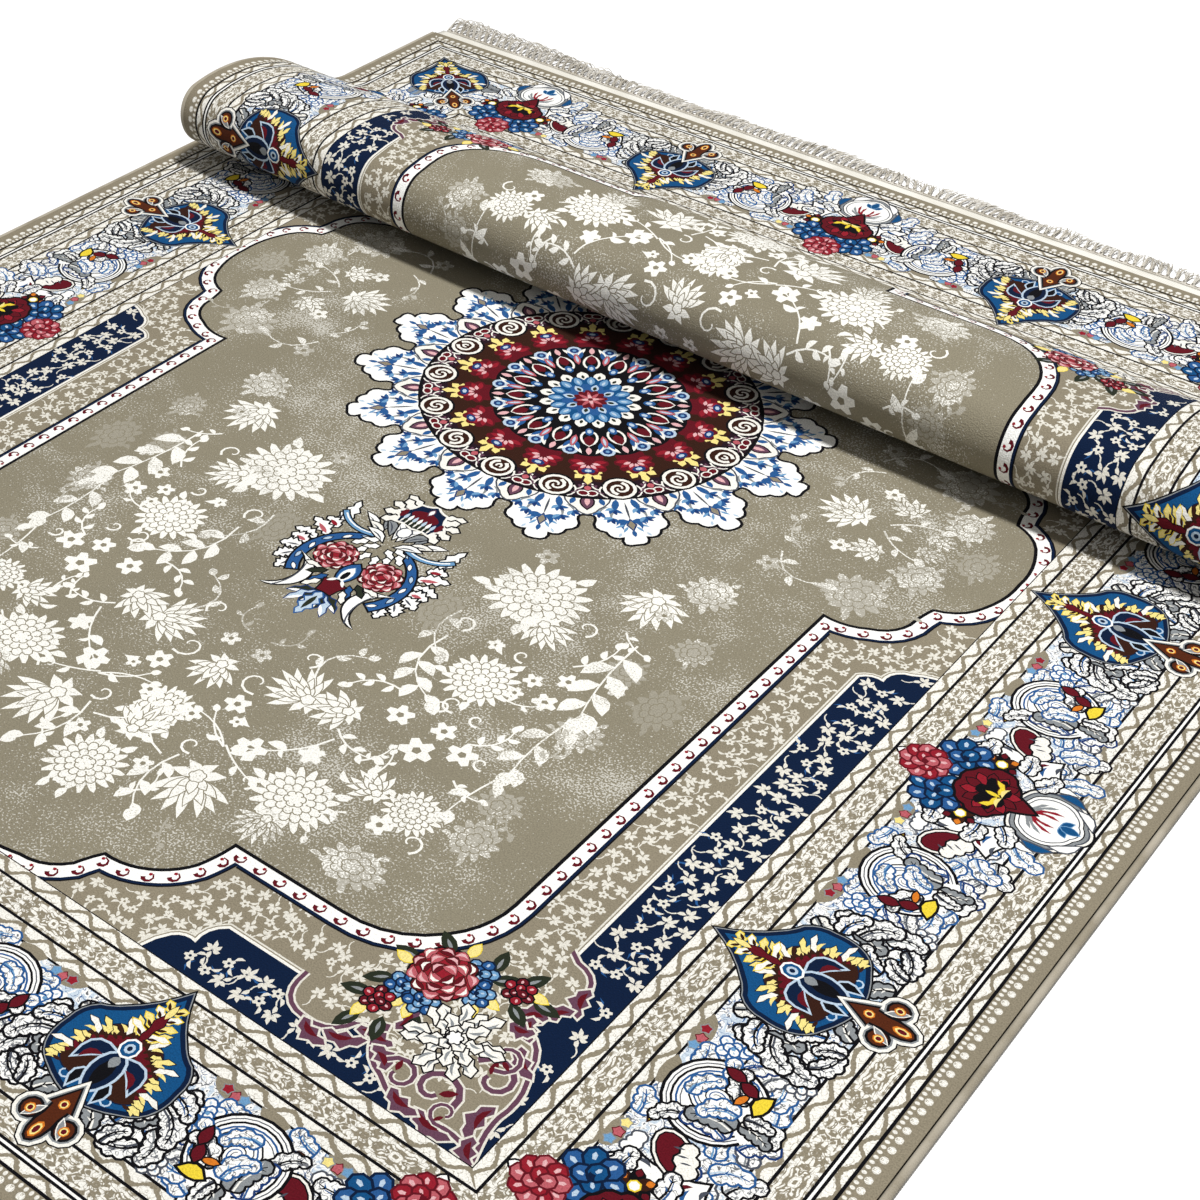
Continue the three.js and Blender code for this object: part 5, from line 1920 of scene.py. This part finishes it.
@dataclass
class PileFace:
    """The cut pile's face: a drawing laid over the folded cloth, its inks held by the mesh's own faces."""

    cloth: FoldedCloth
    field_design: FieldDesign
    border_design: BorderDesign
    finish: PileFinish = PileFinish()
    across_cuts: tuple[float, ...] = (0.2, 0.4, 0.6, 0.95)
    weld: float = 2e-6  # points nearer than this are one
    rim_bake: float = 0.004  # width given to the cut side on the bake map
    thin: float = 0.00022  # a corner nearer than this to the line past it is dropped
    least_area: float = 1e-10
    border_width: float = 0.398  # how much of the border's width a column of its flat map holds
    map_length: float = 1.75  # how much length the flat map holds

    @property
    def reach(self) -> np.ndarray:
        """Half the pile's width and length on the card."""
        return np.array([CLOTH_WIDTH / 2 / UNIT_ACROSS, CLOTH_LENGTH / 2 / UNIT_ALONG])

    @property
    def core(self) -> np.ndarray:
        """Half the field's width and length on the card."""
        return np.array([self.field_design.half_width, self.field_design.half_length])

    def overlay(self, drawing: Drawing, zone: Zone, rows: np.ndarray) -> tuple[np.ndarray, ...]:
        """Cuts a quarter of the card along every outline that shows.

        Args:
            drawing: the quarter's design.
            zone: the part of the pile.
            rows: places along at which the mesh needs a row of corners.

        Returns:
            The points, the triangles, and each triangle's ink and weave.
        """
        (w, h), (w0, h0) = self.reach, self.core
        field_zone = zone is Zone.FIELD
        box = ((0, 0), (w0, 0), (w0, h0), (0, h0)) if field_zone else (
            (w0, 0), (w, 0), (w, h), (0, h), (0, h0), (w0, h0))
        high = np.array([w0, h0] if field_zone else [w, h])
        shapes = [s for s in drawing.shapes if (s.outline.max(0) > 0).all()
                  and (s.outline.min(0) < high).all()
                  and (field_zone or (s.outline.max(0) > self.core).any())]
        looks = {}
        kinds = np.array([looks.setdefault((s.ink, s.fade, s.lace, s.lace_line), len(looks)) for s in shapes])
        lines = [(np.array(box, float), True)] + [(s.outline, True) for s in shapes]
        if not field_zone:
            lines.append((np.array([(w0, h0), (w0, h)]), False))
        at, tris, top = self.cut(lines, [], shapes, field_zone, high)
        look = kinds[top]
        sides = np.sort(np.concatenate([tris[:, [0, 1]], tris[:, [1, 2]], tris[:, [2, 0]]]), axis=1)
        code = sides[:, 0] * len(at) + sides[:, 1]
        order = np.argsort(code, kind="stable")
        code, owner = code[order], np.tile(look, 3)[order]
        first = np.flatnonzero(np.concatenate([[True], code[1:] != code[:-1]]))
        twice = np.zeros(len(first), bool)
        twice[:-1] = np.diff(first) == 2
        twice[-1] = len(code) - first[-1] == 2
        same = twice.copy()
        same[twice] = owner[first[twice]] == owner[first[twice] + 1]
        shown = code[first[~same]]
        chains = self.thinned(at, np.stack([shown // len(at), shown % len(at)], 1))
        lines, top_q = [], high[1]
        for q in rows:
            if 0 < q < top_q:
                lines.append((np.array([(0.0 if field_zone or q > h0 else w0, q), (high[0], q)]), False))
        for x in self.across_cuts:
            if len(rows) and (x < w0) == field_zone:
                lines.append((np.array([(x, rows.min()), (x, top_q)]), False))
        at, tris, top = self.cut(lines, chains, shapes, field_zone, high)
        ink = np.array([(*s.ink.linear(), s.fade) for s in shapes])[top]
        lace = np.array([(*s.lace_line, s.lace.value) for s in shapes])[top]
        return at, tris, ink, lace

    def cut(self, lines: list[tuple[np.ndarray, bool]], segments: Any, shapes: list[Shape], field_zone: bool,
            high: np.ndarray) -> tuple[np.ndarray, np.ndarray, np.ndarray]:
        """Triangulates lines and finds the shape on top of each triangle.

        Args:
            lines: lines to cut along, each with whether it's closed.
            segments: single pieces of line, as pairs of points.
            shapes: the shapes, in paint order.
            field_zone: whether this is the field.
            high: the zone's far corner.

        Returns:
            The points, the triangles and the number of the shape on top.
        """
        verts: list[Vector] = []
        edges: list[tuple[int, int]] = []
        for pts, shut in lines:
            first, n = len(verts), len(pts)
            verts.extend(Vector(p) for p in pts.tolist())
            edges.extend((first + i, first + (i + 1) % n) for i in range(n if shut else n - 1))
        if len(segments):
            first = len(verts)
            places, pairs = segments
            verts.extend(Vector(p) for p in places.tolist())
            edges.extend(map(tuple, (pairs + first).tolist()))
        out = delaunay_2d_cdt(verts, edges, [], 0, EDGE_TOLERANCE, False)
        at = np.array([(p.x, p.y) for p in out[0]])
        tris = np.array(out[2])
        a, b, c = at[tris[:, 0]], at[tris[:, 1]], at[tris[:, 2]]
        mid = (a + b + c) / 3
        area = (b[:, 0] - a[:, 0]) * (c[:, 1] - a[:, 1]) - (b[:, 1] - a[:, 1]) * (c[:, 0] - a[:, 0])
        tris[area < 0] = tris[area < 0][:, ::-1]
        inside = (mid > 0).all(1) & (mid < high).all(1) & (np.abs(area) > self.least_area)
        if not field_zone:
            inside &= ~((mid < self.core).all(1))
        tris, mid = tris[inside], mid[inside]
        order = np.argsort(mid[:, 0])
        sorted_x = mid[order, 0]
        on_top = np.zeros(len(tris), int)
        for k, shape in enumerate(shapes):
            lo, hi = shape.outline.min(0), shape.outline.max(0)
            i, j = np.searchsorted(sorted_x, (lo[0], hi[0]))
            some = order[i:j]
            some = some[(mid[some, 1] >= lo[1]) & (mid[some, 1] <= hi[1])]
            if len(some):
                on_top[some[self.covers(shape.outline, mid[some])]] = k
        return at, tris, on_top

    def thinned(self, at: np.ndarray, pairs: np.ndarray) -> tuple[np.ndarray, np.ndarray]:
        """Drops the corners at which a line of the design hardly turns, and the points that no line uses.

        Args:
            at: the points.
            pairs: pieces of line, as pairs of point numbers.

        Returns:
            The points that are kept, and the pieces of line between them.
        """
        near: dict[int, set[int]] = {}
        for a, b in pairs.tolist():
            near.setdefault(a, set()).add(b)
            near.setdefault(b, set()).add(a)
        spots = at.tolist()
        for k in list(near):
            if len(near[k]) != 2:
                continue
            a, b = near[k]
            dx, dy = spots[b][0] - spots[a][0], spots[b][1] - spots[a][1]
            ex, ey = spots[k][0] - spots[a][0], spots[k][1] - spots[a][1]
            if b not in near[a] and abs(dx * ey - dy * ex) < self.thin * math.hypot(dx, dy):
                for one, other in ((a, b), (b, a)):
                    near[one].remove(k)
                    near[one].add(other)
                del near[k]
        kept = {k: i for i, k in enumerate(near)}
        edges = [(i, kept[b]) for k, i in kept.items() for b in near[k] if kept[b] > i]
        return at[list(near)], np.array(edges)

    @staticmethod
    def covers(outline: Outline, places: np.ndarray) -> np.ndarray:
        """Says which places lie inside an outline.

        Args:
            outline: the closed outline.
            places: the places.

        Returns:
            One answer for each place.
        """
        inside = np.zeros(len(places), bool)
        px, py = places[:, 0], places[:, 1]
        for (x0, y0), (x1, y1) in zip(outline, np.roll(outline, -1, 0)):
            if y0 != y1:
                cross = (y0 > py) != (y1 > py)
                inside ^= cross & (px < (x1 - x0) * (py - y0) / (y1 - y0) + x0)
        return inside

    def build(self, zone: Zone, far: bool) -> bpy.types.Object:
        """Makes the near or the far half of one part of the pile.

        Args:
            zone: the part of the pile.
            far: whether it's the far half.

        Returns:
            The piece.
        """
        drawing = (self.field_design if zone is Zone.FIELD else self.border_design).draw()
        rows = self.cloth.card_rows() / UNIT_ALONG
        flat_pts, all_tris, inks, laces = [], [], [], []
        first = 0
        at, tris, ink, lace = self.overlay(drawing, zone, rows[rows > 0] if far else np.array([]))
        for mirror in (1, -1):
            where = at * [UNIT_ACROSS * mirror, UNIT_ALONG * (1 if far else -1)]
            flip = (mirror == 1) != far
            corners = tris[:, ::-1] if flip else tris
            spot = at[corners]
            side = lace[:, 1] > 0.5
            off = np.where(side[:, None], spot[..., 0], spot[..., 1]) - lace[:, :1]
            off = off * np.where(side, UNIT_ACROSS, UNIT_ALONG)[:, None]
            run = np.where(side[:, None], spot[..., 1] * UNIT_ALONG, spot[..., 0] * UNIT_ACROSS)
            flat_pts.append(where)
            all_tris.append(corners + first)
            first += len(at)
            inks.append(np.repeat(ink[:, None], 3, 1))
            laces.append(np.stack([off, run, np.repeat(lace[:, 2:], 3, 1)], -1))
        flat = np.concatenate(flat_pts)
        tris = np.concatenate(all_tris)
        ink, lace = np.concatenate(inks), np.concatenate(laces)
        _, index, back = np.unique(np.round(flat / self.weld).astype(np.int64), axis=0, return_index=True,
                                     return_inverse=True)
        flat, tris = flat[index], back.reshape(-1)[tris]
        good = (tris[:, 0] != tris[:, 1]) & (tris[:, 1] != tris[:, 2]) & (tris[:, 2] != tris[:, 0])
        tris, ink, lace = tris[good], ink[good], lace[good]
        used, tris = np.unique(tris, return_inverse=True)
        tris = tris.reshape(-1, 3)
        flat = flat[used]
        height = np.full(len(flat), CLOTH_THICKNESS / 2)
        uv = self.bake_places(zone, flat[tris])
        if zone is Zone.BORDER:
            flat, height, tris, ink, lace, uv = self.with_rim(flat, height, tris, ink, lace, uv)
        place, normal = self.cloth.place(flat[:, 0], self.cloth.along(flat[:, 1]), height)
        obj = make_mesh(f"pile_{zone.value}_{'far' if far else 'near'}", place, tris, self.finish.material())
        mesh = obj.data
        mesh.attributes.new("cloth", "FLOAT_VECTOR", "POINT").data.foreach_set(
            "vector", np.column_stack([flat, np.zeros(len(flat))]).ravel())
        mesh.attributes.new("lace", "FLOAT_VECTOR", "CORNER").data.foreach_set("vector", lace.ravel())
        mesh.color_attributes.new("ink", "FLOAT_COLOR", "CORNER").data.foreach_set("color", ink.ravel())
        mesh.uv_layers.new(name="OFBake").data.foreach_set("uv", uv.ravel())
        mesh.normals_split_custom_set_from_vertices(normal.tolist())
        return obj

    def bake_places(self, zone: Zone, spot: np.ndarray) -> np.ndarray:
        """Gives each corner its own place on the piece's flat map, so that nothing overlaps there.

        Args:
            zone: the part of the pile.
            spot: the corners' places on the flat cloth, in metres.

        Returns:
            The corners' places on the map, 0 to 1.
        """
        half = self.core * [UNIT_ACROSS, UNIT_ALONG]
        x, v = spot[..., 0], np.abs(spot[..., 1])
        margin = 0.005
        if zone is Zone.FIELD:
            return np.stack([x / half[0] * (0.5 - margin) + 0.5, v / half[1] * (1 - 2 * margin) + margin], -1)
        mid = spot.mean(1)
        side = (np.abs(mid[:, 0]) > half[0])[:, None]
        column = np.where(side, (mid[:, :1] > 0) * 1.0, 2.0)
        off = np.where(side, np.abs(x) - half[0], v - half[1])
        run = np.where(side, v, x + half[0])
        return np.stack([(column + 2 * margin + 0.94 * off / self.border_width) / 3,
                         0.004 + run / self.map_length], -1)

    def with_rim(self, flat: np.ndarray, height: np.ndarray, tris: np.ndarray, ink: np.ndarray,
                 lace: np.ndarray, uv: np.ndarray) -> tuple[np.ndarray, ...]:
        """Adds the pile's cut side all round, from its face to the back of the cloth.

        Args:
            flat: the face's points on the flat cloth.
            height: their heights above the middle layer.
            tris: the triangles.
            ink: each corner's ink and wear.
            lace: each corner's place in its weave.
            uv: each corner's place on the flat map.

        Returns:
            The same six, with the cut side added.
        """
        edges = np.concatenate([tris[:, [0, 1]], tris[:, [1, 2]], tris[:, [2, 0]]])
        half = np.array([CLOTH_WIDTH, CLOTH_LENGTH]) / 2
        a, b = flat[edges[:, 0]], flat[edges[:, 1]]
        near = EDGE_TOLERANCE
        rim = ((np.abs(np.abs(a) - half) < near) & (np.abs(np.abs(b) - half) < near)).any(1)
        a, b = a[rim], b[rim]
        corners = np.stack([a, b, b, a], 1).reshape(-1, 2)
        base = len(flat) + 4 * np.arange(len(a))[:, None]
        flat = np.concatenate([flat, corners])
        face = CLOTH_THICKNESS / 2
        height = np.concatenate([height, np.tile([face, face, -face, -face], len(a))])
        quads = np.concatenate([base + [0, 3, 2], base + [0, 2, 1]])
        top = np.stack([a, b], 1)
        outer = top + np.sign(top) * self.rim_bake * (np.abs(np.abs(top) - half) < near)
        spots = np.concatenate([np.stack([top[:, 0], outer[:, 0], outer[:, 1]], 1),
                                np.stack([top[:, 0], outer[:, 1], top[:, 1]], 1)])
        rim_uv = self.bake_places(Zone.BORDER, spots)
        guard = np.array([*Ink.GUARD.linear(), 0.0])
        return (flat, height, np.concatenate([tris, quads]),
                np.concatenate([ink, np.broadcast_to(guard, (len(quads), 3, 4))]),
                np.concatenate([lace, np.zeros((len(quads), 3, 3))]), np.concatenate([uv, rim_uv]))


@dataclass
class Backing:
    """The cloth's woven back, a thin slab that the pile stands on."""

    cloth: FoldedCloth
    inset: float = 0.0012
    pile_gap: float = 0.002
    columns: int = 14
    more_rows: int = 12  # rows of points besides those at the bends
    finish: YarnFinish = YarnFinish("backing", Ink.PALE, Ink.GUARD, 0.003, 0.0008, True)

    def build(self) -> bpy.types.Object:
        """Makes the back as one closed sheet.

        Returns:
            The piece.
        """
        rows = self.cloth.rows()
        rows = np.unique(np.concatenate([rows, np.linspace(0.3, rows[-1] - 0.2, self.more_rows)]))
        rows[0], rows[-1] = self.inset, CLOTH_LENGTH - self.inset
        half = CLOTH_WIDTH / 2 - self.inset
        x = np.linspace(-half, half, self.columns + 1)
        gx, gs = np.meshgrid(x, rows)
        top, _ = self.cloth.place(gx.ravel(), gs.ravel(), CLOTH_THICKNESS / 2 - self.pile_gap)
        low, _ = self.cloth.place(gx.ravel(), gs.ravel(), -CLOTH_THICKNESS / 2)
        return make_mesh("backing_cloth", np.concatenate([top, low]), slab_faces(len(x), len(rows)),
                         self.finish.material())


@dataclass
class EdgeBinding:
    """Overcast yarn over one long edge: a bead ribbed by slanting stitches."""

    cloth: FoldedCloth
    side: int
    pitch: float = 0.0042
    sides: int = 10
    rib: float = 0.07  # how deep the ribs are, as a share of the radius
    clearance: float = 0.0002
    finish: YarnFinish = YarnFinish("overcast_yarn", Ink.STRAW, Ink.GUARD, 0.0012, 0.0004)

    def build(self) -> bpy.types.Object:
        """Makes the ribbed bead along the fold.

        Returns:
            The piece.
        """
        count = int(CLOTH_LENGTH / self.pitch) * 4
        s = np.linspace(0, CLOTH_LENGTH, count)
        a = np.arange(self.sides) / self.sides * 2 * math.pi
        gs, ga = np.meshgrid(s, a, indexing="ij")
        wave = 1 - self.rib + self.rib * np.abs(np.sin(np.pi * (gs / self.pitch + ga / (2 * math.pi)))) * 1.3
        middle = self.side * (CARPET_WIDTH - BINDING_WIDTH) / 2
        x = middle + np.cos(ga) * BINDING_WIDTH / 2 * wave
        h = np.sin(ga) * (CLOTH_THICKNESS / 2 - self.clearance) * np.minimum(wave, 1.0)
        place, _ = self.cloth.place(x.ravel(), gs.ravel(), h.ravel())
        n = self.sides
        i = (np.arange(count - 1)[:, None] * n + np.arange(n)).ravel()
        j = (np.arange(count - 1)[:, None] * n + (np.arange(n) + 1) % n).ravel()
        faces = np.stack([i, i + n, j + n, j], 1).tolist()
        faces.append(list(range(n)))
        faces.append(list(range((count - 1) * n, count * n))[::-1])
        name = f"edge_binding_{'left' if self.side < 0 else 'right'}_yarn"
        return make_mesh(name, place, faces, self.finish.material())


@dataclass
class CarpetEnd:
    """One woven end band with its knotted fringe."""

    cloth: FoldedCloth
    name: str
    edge_y: float
    outward: int
    shift: float
    pitch: float = 0.0176
    strands: int = 9
    knot_inset: float = 0.006
    knot_sides: int = 5
    seed: int = 3
    loft: float = 0.0  # how much higher the strands stand towards the left end, over a metre
    band_columns: int = 180
    band_rows: int = 9
    sag: float = 0.0012
    ripple: float = 0.00035
    patches: int = 23  # stretches of fringe that lean alike
    lean: float = 0.034
    droops: int = 40  # stretches of fringe that reach alike
    band_finish: YarnFinish = YarnFinish("band_cotton", Ink.IVORY, Ink.PALE, 0.0022, 0.0009, True)
    fringe_finish: YarnFinish = YarnFinish("fringe_cotton", Ink.COTTON, Ink.STRAW, 0.0016, 0.0004)
    # painted shadow: the dark bars low between the knots
    knot_shadow_finish: YarnFinish = YarnFinish("painted_knot_shadow", Ink.KNOT_SHADOW, Ink.STRAW, 0.0012, 0.0004)

    def place(self, x: np.ndarray, out: np.ndarray, z: np.ndarray) -> np.ndarray:
        """Puts points given by distance across and out from the pile's edge."""
        y = self.edge_y + self.outward * out
        return np.stack([x + self.shift, y, z], -1) + self.cloth.offset

    def band(self) -> bpy.types.Object:
        """Makes the plain woven band, a little wavy.

        Returns:
            The piece.
        """
        half = CARPET_WIDTH / 2 - BAND_OVERHANG
        x = np.linspace(-half, half, self.band_columns)
        o = np.linspace(SEAT_GAP, SEAT_GAP + BAND_LENGTH, self.band_rows)
        gx, go = np.meshgrid(x, o)
        rng = np.random.default_rng(self.seed)
        wave = sum(rng.uniform(0.2, 1) * np.sin(gx * rng.uniform(8, 60) + rng.uniform(0, 6))
                   for _ in range(7))
        share = go / BAND_LENGTH
        z = BAND_THICKNESS - self.sag + self.ripple * wave * share + self.sag * np.cos(share * 3)
        top = self.place(gx.ravel(), go.ravel(), np.clip(z, 0.0015, 0.0052).ravel())
        low = self.place(gx.ravel(), go.ravel(), np.zeros(gx.size))
        faces = slab_faces(len(x), len(o))
        if self.outward < 0:
            faces = faces[:, ::-1]
        return make_mesh(f"end_band_{self.name}_cloth", np.concatenate([top, low]), faces,
                         self.band_finish.material())

    def tubes(self, lines: np.ndarray, radius: np.ndarray, sides: int) -> tuple[np.ndarray, np.ndarray]:
        """Makes many tubes at once.

        Args:
            lines: points of each tube's middle line, in (across, out, up).
            radius: its radius at each point.
            sides: number of sides.

        Returns:
            The points and the faces.
        """
        k, m, _ = lines.shape
        along = np.gradient(lines, axis=1)
        along /= np.maximum(np.linalg.norm(along, axis=2, keepdims=True), 1e-9)
        right = np.cross(along, [0, 0, 1.0])
        right /= np.maximum(np.linalg.norm(right, axis=2, keepdims=True), 1e-9)
        up = np.cross(right, along)
        a = np.arange(sides) / sides * 2 * math.pi
        ring = (right[:, :, None] * np.cos(a)[:, None] + up[:, :, None] * np.sin(a)[:, None])
        pts = lines[:, :, None] + ring * radius[..., None, None]
        pts[..., 2] = np.maximum(pts[..., 2], 0.0002)
        base = (np.arange(k)[:, None, None] * m + np.arange(m - 1)[:, None]) * sides
        i, j = base + np.arange(sides), base + (np.arange(sides) + 1) % sides
        faces = np.stack([i, j, j + sides, i + sides], -1).reshape(-1, 4)
        flat = pts.reshape(-1, 3)
        return self.place(flat[:, 0], flat[:, 1], flat[:, 2]), faces

    def knot_places(self) -> np.ndarray:
        """Gives each knot's place across the carpet.

        Returns:
            The places, from left to right.
        """
        half = CARPET_WIDTH / 2 - BAND_OVERHANG
        count = int(2 * (half - self.knot_inset) / self.pitch) + 1
        return (np.arange(count) - (count - 1) / 2) * self.pitch

    def strand_tubes(self, x0: np.ndarray, start: float) -> tuple[np.ndarray, np.ndarray]:
        """Makes every tassel's strands, which lean and curl alike within a patch.

        Args:
            x0: the knots' places across the carpet.
            start: how far out the knots begin.

        Returns:
            The points and the faces.
        """
        rng = np.random.default_rng(self.seed + 11)
        half = CARPET_WIDTH / 2 - BAND_OVERHANG
        t = np.linspace(0, 1, 10)
        patches = np.linspace(-half, half, self.patches)
        drift = np.interp(x0, patches, rng.uniform(-self.lean, self.lean, self.patches))
        puff = np.interp(x0, patches, rng.uniform(0.001, 0.007, self.patches))
        puff = puff + self.loft * np.clip(-0.6 - x0, 0, 0.3)
        reach = np.interp(x0, np.linspace(-half, half, self.droops), rng.uniform(0.66, 0.97, self.droops))
        knot_out = start + KNOT_BAR_LENGTH * 0.8
        far_out = start + KNOT_BAR_LENGTH + TASSEL_LENGTH
        lines, radii = [], []
        for k in range(len(x0)):
            for j in range(self.strands):
                long = TASSEL_LENGTH * reach[k] * rng.uniform(0.8, 1.0)
                lean = drift[k] + rng.normal(0, 0.008)
                phase, wave = rng.uniform(0, 6.3), rng.uniform(0.0006, 0.0034)
                across = x0[k] + lean * t ** 1.3 + wave * np.sin(phase + 7 * t) * t
                across = across + 0.0022 * math.sin(2.4 * j)
                out = knot_out + long * t * (1 - 6 * abs(lean) * t * t) + wave * np.sin(phase * 2 + 6 * t) * t
                up = (puff[k] * rng.uniform(0.2, 1.3)) * np.sin(np.pi * np.minimum(t * 1.05, 1)) ** 0.9
                up = up + 0.0022 * (2 - t) + 0.001 * (j % 3)
                across = np.clip(across, -half - 0.02, half + 0.02)
                lines.append(np.stack([across, np.minimum(out, far_out), up], -1))
                radii.append(np.interp(t, [0, 0.1, 0.85, 1], [0.0014, 0.0011, 0.0008, 0.0003]))
        return self.tubes(np.array(lines), np.array(radii), 3)

    def knot_tubes(self, x0: np.ndarray, start: float) -> tuple[np.ndarray, np.ndarray]:
        """Makes the knots, two turns of yarn each.

        Args:
            x0: the knots' places across the carpet.
            start: how far out the knots begin.

        Returns:
            The points and the faces.
        """
        u = np.linspace(0, 2 * math.pi, 8)
        knots = [np.stack([x + 0.0040 * np.cos(u), start + 0.0052 + 0.0034 * np.sin(u) + 0.002 * turn,
                           0.0032 + 0.0014 * np.sin(u + turn * 1.5)], -1) for x in x0 for turn in (0, 1)]
        return self.tubes(np.array(knots), np.full((len(knots), len(u)), 0.0016), self.knot_sides)

    def fringe(self) -> bpy.types.Object:
        """Makes the row of knots, the tassels that hang from it and dark bars of painted shadow between the
        knots.

        Returns:
            The piece.
        """
        x0 = self.knot_places()
        start = SEAT_GAP * 2 + BAND_LENGTH
        bars = np.stack([x0[:-1], x0[1:]], 1)
        web = np.stack([bars, np.full_like(bars, start + 0.0016), np.full_like(bars, 0.0022)], -1)
        # painted shadow: low dark bars between the knots stand for the shade in the gaps
        gap = np.stack([bars, np.full_like(bars, start + 0.0062), np.full_like(bars, 0.0012)], -1)
        parts = [self.strand_tubes(x0, start), self.knot_tubes(x0, start),
                 self.tubes(web, np.full(web.shape[:2], 0.0019), self.knot_sides),
                 self.tubes(gap, np.full(gap.shape[:2], 0.0026), self.knot_sides)]
        first = np.cumsum([0] + [len(spots) for spots, _ in parts[:-1]])
        faces = np.concatenate([part[1] + base for part, base in zip(parts, first)])
        obj = make_mesh(f"fringe_{self.name}_yarn", np.concatenate([part[0] for part in parts]), faces,
                        self.fringe_finish.material())
        # the painted shadow bars take the dark finish
        obj.data.materials.append(self.knot_shadow_finish.material())
        dark = len(parts[-1][1])
        obj.data.polygons.foreach_set("material_index", [0] * (len(faces) - dark) + [1] * dark)
        return obj


@dataclass
class Studio:
    """The camera, the pale floor and the soft lights."""

    camera_place: tuple[float, float, float] = (1.7305, -2.1181, 2.0042)
    pitch: float = 38.8357
    yaw: float = 36.378
    roll: float = 1.4605
    lens: float = 61.80
    shift_x: float = 0.0333
    floor_size: float = 40.0

    def camera(self) -> None:
        """Sets the camera at the viewing angle."""
        data = bpy.data.cameras.new("camera")
        data.lens, data.sensor_width, data.shift_x = self.lens, 36.0, self.shift_x
        data.clip_end = 100
        cam = bpy.data.objects.new("camera", data)
        cam.location = self.camera_place
        view = Euler((math.radians(90 - self.pitch), 0, math.radians(self.yaw))).to_matrix()
        cam.rotation_euler = (view @ Euler((0, 0, math.radians(self.roll))).to_matrix()).to_euler()
        bpy.context.scene.collection.objects.link(cam)
        bpy.context.scene.camera = cam

    def floor(self) -> None:
        """Lays the pale floor."""
        n = Nodes("pale_floor")
        place = n.add("ShaderNodeTexCoord", {}, {}, "Object")
        tone = n.noise(place, 2.0, 2.0).between(0.3, 0.7, 0.90, 0.93)
        n.finish(n.vector(tone, tone, tone), n.noise(place, 60, 2.0), 0.0001, 0.75, 0.0)
        h = self.floor_size / 2
        pts = np.array([(-h, -h, 0), (h, -h, 0), (h, h, 0), (-h, h, 0)])
        floor = make_mesh("studio_floor", pts, [[0, 1, 2, 3]], n.material, False)

    def lights(self) -> None:
        """Hangs the soft lights and sets the room's glow."""
        for name, place, size, power in (("key", (0.7, 1.05, 8.0), 0.9, 750),
                                         ("fill", (2.4, -2.8, 4.0), 4.0, 26)):
            data = bpy.data.lights.new(name, "AREA")
            data.energy, data.size = power, size
            lamp = bpy.data.objects.new(name, data)
            lamp.location = place
            lamp.rotation_euler = (-Vector(place)).to_track_quat("-Z", "Y").to_euler()
            bpy.context.scene.collection.objects.link(lamp)
        world = bpy.data.worlds.new("studio")
        world.use_nodes = True
        world.node_tree.nodes["Background"].inputs["Color"].default_value = (1, 1, 1, 1)
        world.node_tree.nodes["Background"].inputs["Strength"].default_value = 0.2
        bpy.context.scene.world = world
        bpy.context.scene.view_settings.view_transform = "Standard"


def main() -> None:
    """Builds the studio and then the carpet, piece by piece."""
    logging.basicConfig(level=logging.INFO, format="%(message)s")
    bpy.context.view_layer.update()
    studio = Studio()
    studio.camera()
    studio.floor()
    studio.lights()
    cloth = FoldedCloth()
    pile = PileFace(cloth, FieldDesign(), BorderDesign())
    backing = report(Backing(cloth).build(), "pile", "pile_cloth")
    for zone in Zone:
        for far in (False, True):
            report(pile.build(zone, far), "pile", "pile_cloth")
    trims = [report(EdgeBinding(cloth, side).build(), "binding",
                    f"edge_binding_{'left' if side < 0 else 'right'}") for side in (-1, 1)]
    for name, y, out, shift in (("near", -CLOTH_LENGTH / 2, -1, 0.0),
                                ("far", cloth.far_end_y, 1, cloth.far_side_shift)):
        end = CarpetEnd(cloth, name, y, out, shift, seed=3 if out > 0 else 5, loft=0.06 if out > 0 else 0.0)
        trims.append(report(end.band(), "band", f"end_band_{name}"))
        trims.append(report(end.fringe(), "fringe", f"fringe_{name}"))


if __name__ == "__main__":
    main()
